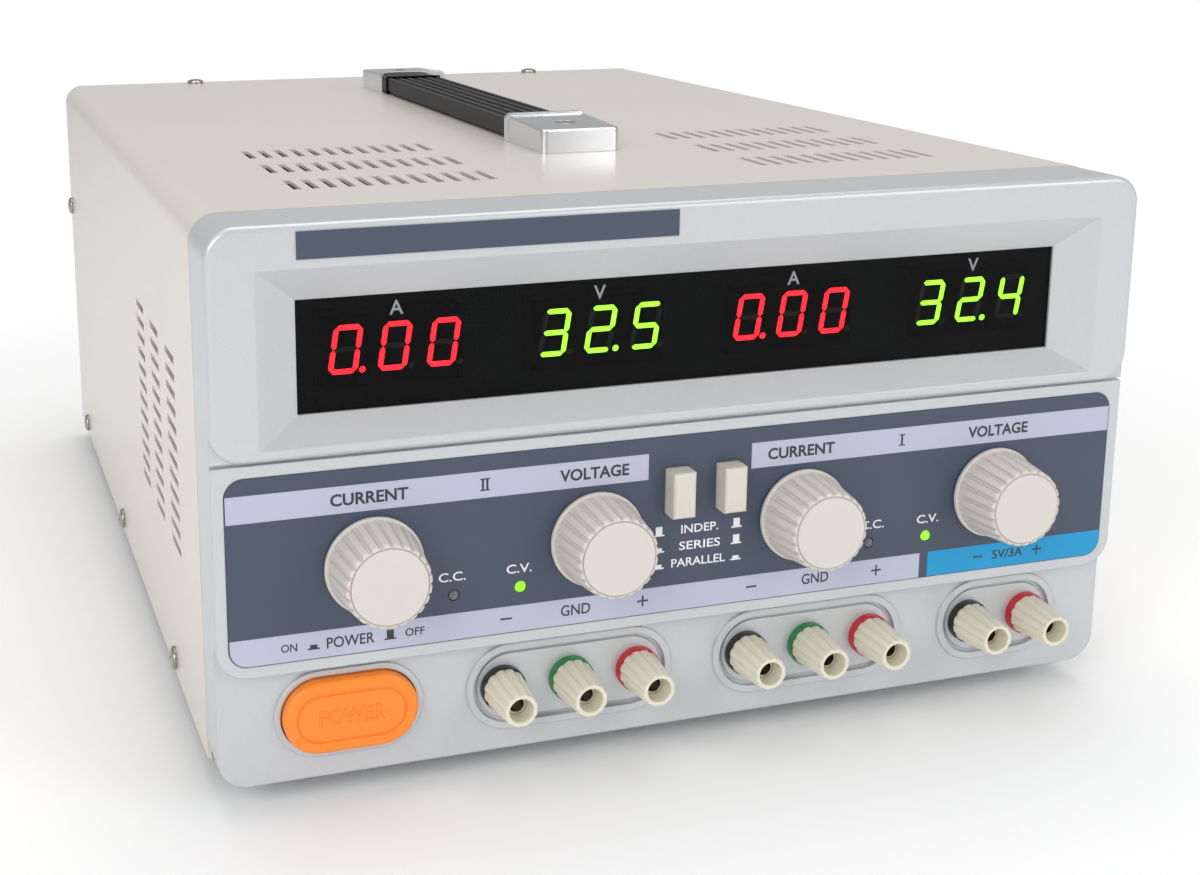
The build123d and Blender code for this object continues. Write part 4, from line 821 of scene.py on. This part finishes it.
def ringed_piece(node, rings, flutes, groove, closed, material, body):
    """A finer form of a turned CAD node, on the same axis and with its back at the same place."""
    low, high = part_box(node)
    back = Vector(((low.x + high.x) / 2, high.y, (low.z + high.z) / 2))
    form = piece(node + "_form", [ringed_mesh(rings, back, flutes, groove, closed)], material, body)
    for polygon in form.data.polygons:
        polygon.use_smooth = True
    form.data.set_sharp_from_angle(angle=SHARP_ANGLE)
    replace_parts(form, node)


print("groove steps:", len(FLAT_GROOVE), "on a knob,", len(SOFT_GROOVE), "on a nut")

# %% [markdown]
# A knob has a plain skirt, 24 flat grooves on a slight taper, a rounded front edge and a raised cap
# with a fine line round it. A nut is a tapered tube with 12 soft ribs and a shoulder inside for the
# socket. Each form rides on the body of the piece that it replaces, so it turns or slides with it.

# %% Knobs and clamping nuts
KNOB_FLUTES, NUT_FLUTES = 24, 12
KNOB_RINGS = [(12.8, 0, 0), (13.1, 0.3, 0), (13.1, 1.2, 0), (12.8, 1.5, 0), (12.5, 1.5, 0.6),
              (11.15, 14.9, 0.6), (11.0, 15.35, 0.5), (10.75, 15.65, 0.3), (10.4, 15.8, 0),
              (10.2, 15.8, 0), (10.15, 15.5, 0), (9.95, 15.5, 0), (9.9, 16.0, 0), (9.75, 16.1, 0)]
NUT_RINGS = [(5.8, 0, 0.3), (5.95, 0.3, 0.5), (4.65, 13.2, 0.4), (4.45, 13.6, 0.2), (3.45, 13.6, 0),
             (3.3, 13.4, 0), (3.3, 9.4, 0), (2.97, 9.4, 0), (2.97, 0, 0)]
for channel in (1, 2):
    for kind in ("current", "voltage"):
        ringed_piece(f"{kind}_knob_{channel}", KNOB_RINGS, KNOB_FLUTES, FLAT_GROOVE, False, knob_plastic,
                     f"{kind}_control_{channel}")
for number in range(1, 9):
    ringed_piece(f"post_nut_{number}", NUT_RINGS, NUT_FLUTES, SOFT_GROOVE, True, cream_plastic,
                 f"clamp_{number}")

# %% [markdown]
# The screws on the cover are pan heads with a cross recess. The solid model holds them as plain
# heads, and here each becomes a rounded head with a real recess. A head is made once and copied: a
# profile is spun into a dome, and a cross-shaped cutter is taken out of it with a Boolean modifier.
# A cross painted on would save the faces, but it would look flat in raking light.

# %% Screw heads
DOME_FOOT = 0.35
RECESS_REACH, RECESS_WIDTH, RECESS_DEPTH = 0.62, 0.13, 0.6
RECESS_TAPER = 0.55
CUTTER_ABOVE = 0.0005


def spun_mesh(profile, steps=28):
    """A solid of revolution about Z from (radius, height) points that start and end on the axis."""
    body = bmesh.new()
    rings = []
    for radius, height in profile:
        if not radius:
            rings.append([body.verts.new((0, 0, height))])
        else:
            rings.append([body.verts.new((radius * math.cos(2 * math.pi * s / steps),
                                          radius * math.sin(2 * math.pi * s / steps), height))
                          for s in range(steps)])
    for lower, upper in zip(rings, rings[1:]):
        for s in range(steps):
            after = (s + 1) % steps
            corners = [lower[s % len(lower)], lower[after % len(lower)],
                       upper[after % len(upper)], upper[s % len(upper)]]
            unique = list(dict.fromkeys(corners))
            if len(unique) > 2:
                body.faces.new(unique)
    return as_mesh(body, "spun")


def cross_mesh(reach, width, depth, top):
    """A plus-shaped prism that narrows downwards, to cut a cross recess."""
    outline = [(width, width), (width, reach), (-width, reach), (-width, width), (-reach, width),
               (-reach, -width), (-width, -width), (-width, -reach), (width, -reach), (width, -width),
               (reach, -width), (reach, width)]
    return prism([(x, y, top + CUTTER_ABOVE) for x, y in outline],
                 [(x * RECESS_TAPER, y * RECESS_TAPER, top - depth) for x, y in outline], "cross")


def screw_mesh(head_radius, head_height, shank_radius, shank_length):
    """A pan-head screw along Z with its seat at 0, with a cross recess."""
    profile = [(0, head_height)]
    for degrees in range(15, 91, 15):
        angle = math.radians(degrees)
        profile.append((head_radius * math.sin(angle),
                        head_height * (DOME_FOOT + (1 - DOME_FOOT) * math.cos(angle))))
    profile += [(head_radius, 0), (shank_radius, 0), (shank_radius, -shank_length + shank_radius),
                (0, -shank_length)]
    screw = new_object("screw", spun_mesh(profile))
    cutter = new_object("cutter", cross_mesh(head_radius * RECESS_REACH, head_radius * RECESS_WIDTH,
                                             head_height * RECESS_DEPTH, head_height))
    cut = screw.modifiers.new("recess", "BOOLEAN")
    cut.operation = "DIFFERENCE"
    cut.object = cutter
    mesh = settled_mesh(screw)
    bpy.data.objects.remove(cutter)
    return mesh


GRIP_HEAD = 0.0012
case_screw = screw_mesh(head_radius=0.0035, head_height=0.0019, shank_radius=0.0018, shank_length=0.0068)
grip_screw = screw_mesh(head_radius=0.0031, head_height=GRIP_HEAD, shank_radius=0.0018, shank_length=0.013)
print("faces of a screw:", len(case_screw.polygons))

# %% [markdown]
# The solid model holds all the screws of one kind as one piece. To find where each one sits, the
# piece is walked from corner to corner along its edges: what can be reached is one screw, and its
# lowest and highest corners give its place. So the places are never typed a second time.

# %% Finding and placing screws


def islands(node):
    """The lowest and highest corner of every separate solid in a CAD node."""
    shape = bmesh.new()
    shape.from_mesh(nodes[node].data)
    bmesh.ops.remove_doubles(shape, verts=shape.verts, dist=1e-6)
    shape.verts.ensure_lookup_table()
    seen, found = set(), []
    for vertex in shape.verts:
        if vertex.index in seen:
            continue
        queue, members = [vertex], []
        seen.add(vertex.index)
        while queue:
            current = queue.pop()
            members.append(current.co.copy())
            for edge in current.link_edges:
                other = edge.other_vert(current)
                if other.index not in seen:
                    seen.add(other.index)
                    queue.append(other)
        low = Vector([min(co[axis] for co in members) for axis in range(3)])
        high = Vector([max(co[axis] for co in members) for axis in range(3)])
        found.append((low, high))
    shape.free()
    return found


def placed(mesh, seat, direction, spin):
    """A copy of a mesh with its Z axis along a direction, turned by spin about it."""
    copy = mesh.copy()
    turn = Vector((0, 0, 1)).rotation_difference(Vector(direction)).to_matrix().to_4x4()
    copy.transform(Matrix.Translation(seat) @ turn @ Matrix.Rotation(spin, 4, "Z"))
    return copy


print("screws on the cover:", len(islands("case_screws")))

# %% [markdown]
# Every screw stops at another angle when it is driven home, so each copy gets its own spin. The
# cover's screws sit on its top and sides, two hold the handle, and four hold the feet from below.

# %% Cover, handle and foot screws
SEAT_SLACK = 0.0005
FOOT_SEAT = 0.002
screw_plate = finish("screw_plate", tone(170, 168, 160), 0.25, 1.0, grain=700.0, depth=0.00003,
                     strength=0.5, edge=0.0002)
cover_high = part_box("top_cover")[1]
copies = []
for index, (low, high) in enumerate(islands("case_screws")):
    centre = (low + high) / 2
    if high.z > cover_high.z + SEAT_SLACK:
        seat, direction = Vector((centre.x, centre.y, cover_high.z)), (0, 0, 1)
    else:
        side = 1 if centre.x > 0 else -1
        seat, direction = Vector((side * cover_high.x, centre.y, centre.z)), (side, 0, 0)
    copies.append(placed(case_screw, seat, direction, 0.4 + 0.9 * index))
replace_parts(piece("cover_screws", copies, screw_plate, "case"), "case_screws")

copies = []
for index, (low, high) in enumerate(islands("handle_screws")):
    seat = Vector(((low.x + high.x) / 2, (low.y + high.y) / 2, high.z - GRIP_HEAD))
    copies.append(placed(grip_screw, seat, (0, 0, 1), 0.7 + index))
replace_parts(piece("grip_screws", copies, screw_plate, "case"), "handle_screws")

copies = []
for index, (low, high) in enumerate(islands("foot_screws")):
    seat = Vector(((low.x + high.x) / 2, (low.y + high.y) / 2, low.z + FOOT_SEAT))
    copies.append(placed(case_screw, seat, (0, 0, -1), 0.2 + index))
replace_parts(piece("under_screws", copies, screw_plate, "case"), "foot_screws")
print("screws placed")

# %% [markdown]
# The photo's background is plain white with a soft shadow under the object. The floor is a plain
# pale sheet that takes the shadow. Further out it fades, for the camera alone, to an even white, so
# no horizon shows. A curved studio backdrop would hide the horizon too, but would shade grey.

# %% Floor
FLOOR_HALF = 6
FADE_START, FADE_END = 0.2, 0.5
floor_mesh = bpy.data.meshes.new("floor")
floor_corners = [(-FLOOR_HALF, -FLOOR_HALF, 0), (FLOOR_HALF, -FLOOR_HALF, 0),
                 (FLOOR_HALF, FLOOR_HALF, 0), (-FLOOR_HALF, FLOOR_HALF, 0)]
floor_mesh.from_pydata(floor_corners, [], [(0, 1, 2, 3)])
floor = new_object("floor", floor_mesh)
paper = new_material("floor_paper", tone(254, 254, 254), 0.9)
floor_mesh.materials.append(paper)
paper_place = add(paper, "ShaderNodeTexCoord")
paper_gap = add(paper, "ShaderNodeVectorMath")
paper_gap.operation = "LENGTH"
paper_fade = add(paper, "ShaderNodeMapRange", From_Min=FADE_START, From_Max=FADE_END)
paper_fade.interpolation_type = "SMOOTHSTEP"
paper_path = add(paper, "ShaderNodeLightPath")
paper_camera = add(paper, "ShaderNodeMath")
paper_camera.operation = "MULTIPLY"
paper_white = add(paper, "ShaderNodeEmission", Color=(1, 1, 1, 1), Strength=1.0)
paper_mix = add(paper, "ShaderNodeMixShader")
paper_out = paper.node_tree.nodes["Material Output"]
link(paper, paper_place.outputs["Object"], paper_gap.inputs[0])
link(paper, paper_gap.outputs["Value"], paper_fade.inputs["Value"])
link(paper, paper_fade.outputs["Result"], paper_camera.inputs[0])
link(paper, paper_path.outputs["Is Camera Ray"], paper_camera.inputs[1])
link(paper, paper_camera.outputs["Value"], paper_mix.inputs["Fac"])
link(paper, shader_of(paper).outputs["BSDF"], paper_mix.inputs[1])
link(paper, paper_white.outputs["Emission"], paper_mix.inputs[2])
link(paper, paper_mix.outputs["Shader"], paper_out.inputs["Surface"])
print("floor fades from", FADE_START, "to", FADE_END, "m")

# %% [markdown]
# The world is the fill light from all round. At full strength it would flatten the object, so it
# lights at less than half, and only what the camera sees of it directly is full white.

# %% World
FILL_LIGHT = 0.45
world = bpy.data.worlds.new("studio")
bpy.context.scene.world = world
world.use_nodes = True
sky = fill(world.node_tree.nodes["Background"], Color=(1, 1, 1, 1))
sky_path = add(world, "ShaderNodeLightPath")
sky_level = add(world, "ShaderNodeMapRange", To_Min=FILL_LIGHT, To_Max=1.0)
link(world, sky_path.outputs["Is Camera Ray"], sky_level.inputs["Value"])
link(world, sky_level.outputs["Result"], sky.inputs["Strength"])
bpy.context.scene.view_settings.view_transform = "Standard"
print("fill light:", FILL_LIGHT)

# %% [markdown]
# Studio light is large and soft. Three big area lamps shape the object: one over the top, one from
# the left front and one from the right. Small lamps would give hard shadows and bright spots.

# %% Lamps


def softbox(name, place, target, size, power):
    """A large square lamp at a place, turned to a target."""
    lamp_data = bpy.data.lights.new(name, "AREA")
    lamp_data.shape = "SQUARE"
    lamp_data.size = size
    lamp_data.energy = power
    lamp = new_object(name, lamp_data)
    lamp.location = place
    lamp.rotation_euler = (Vector(target) - Vector(place)).to_track_quat("-Z", "Y").to_euler()


softbox("top_softbox", (0.1, 0.2, 1.5), (0, 0, 0.1), 1.2, 9.5)
softbox("left_softbox", (-1.1, -1.2, 0.9), (0, 0, 0.08), 1.0, 12)
softbox("right_softbox", (1.0, -1.4, 0.8), (0, 0, 0.08), 1.0, 8)
print("lamps:", [lamp.name for lamp in bpy.data.lights])

# %% End of the scene


print("scene ready")
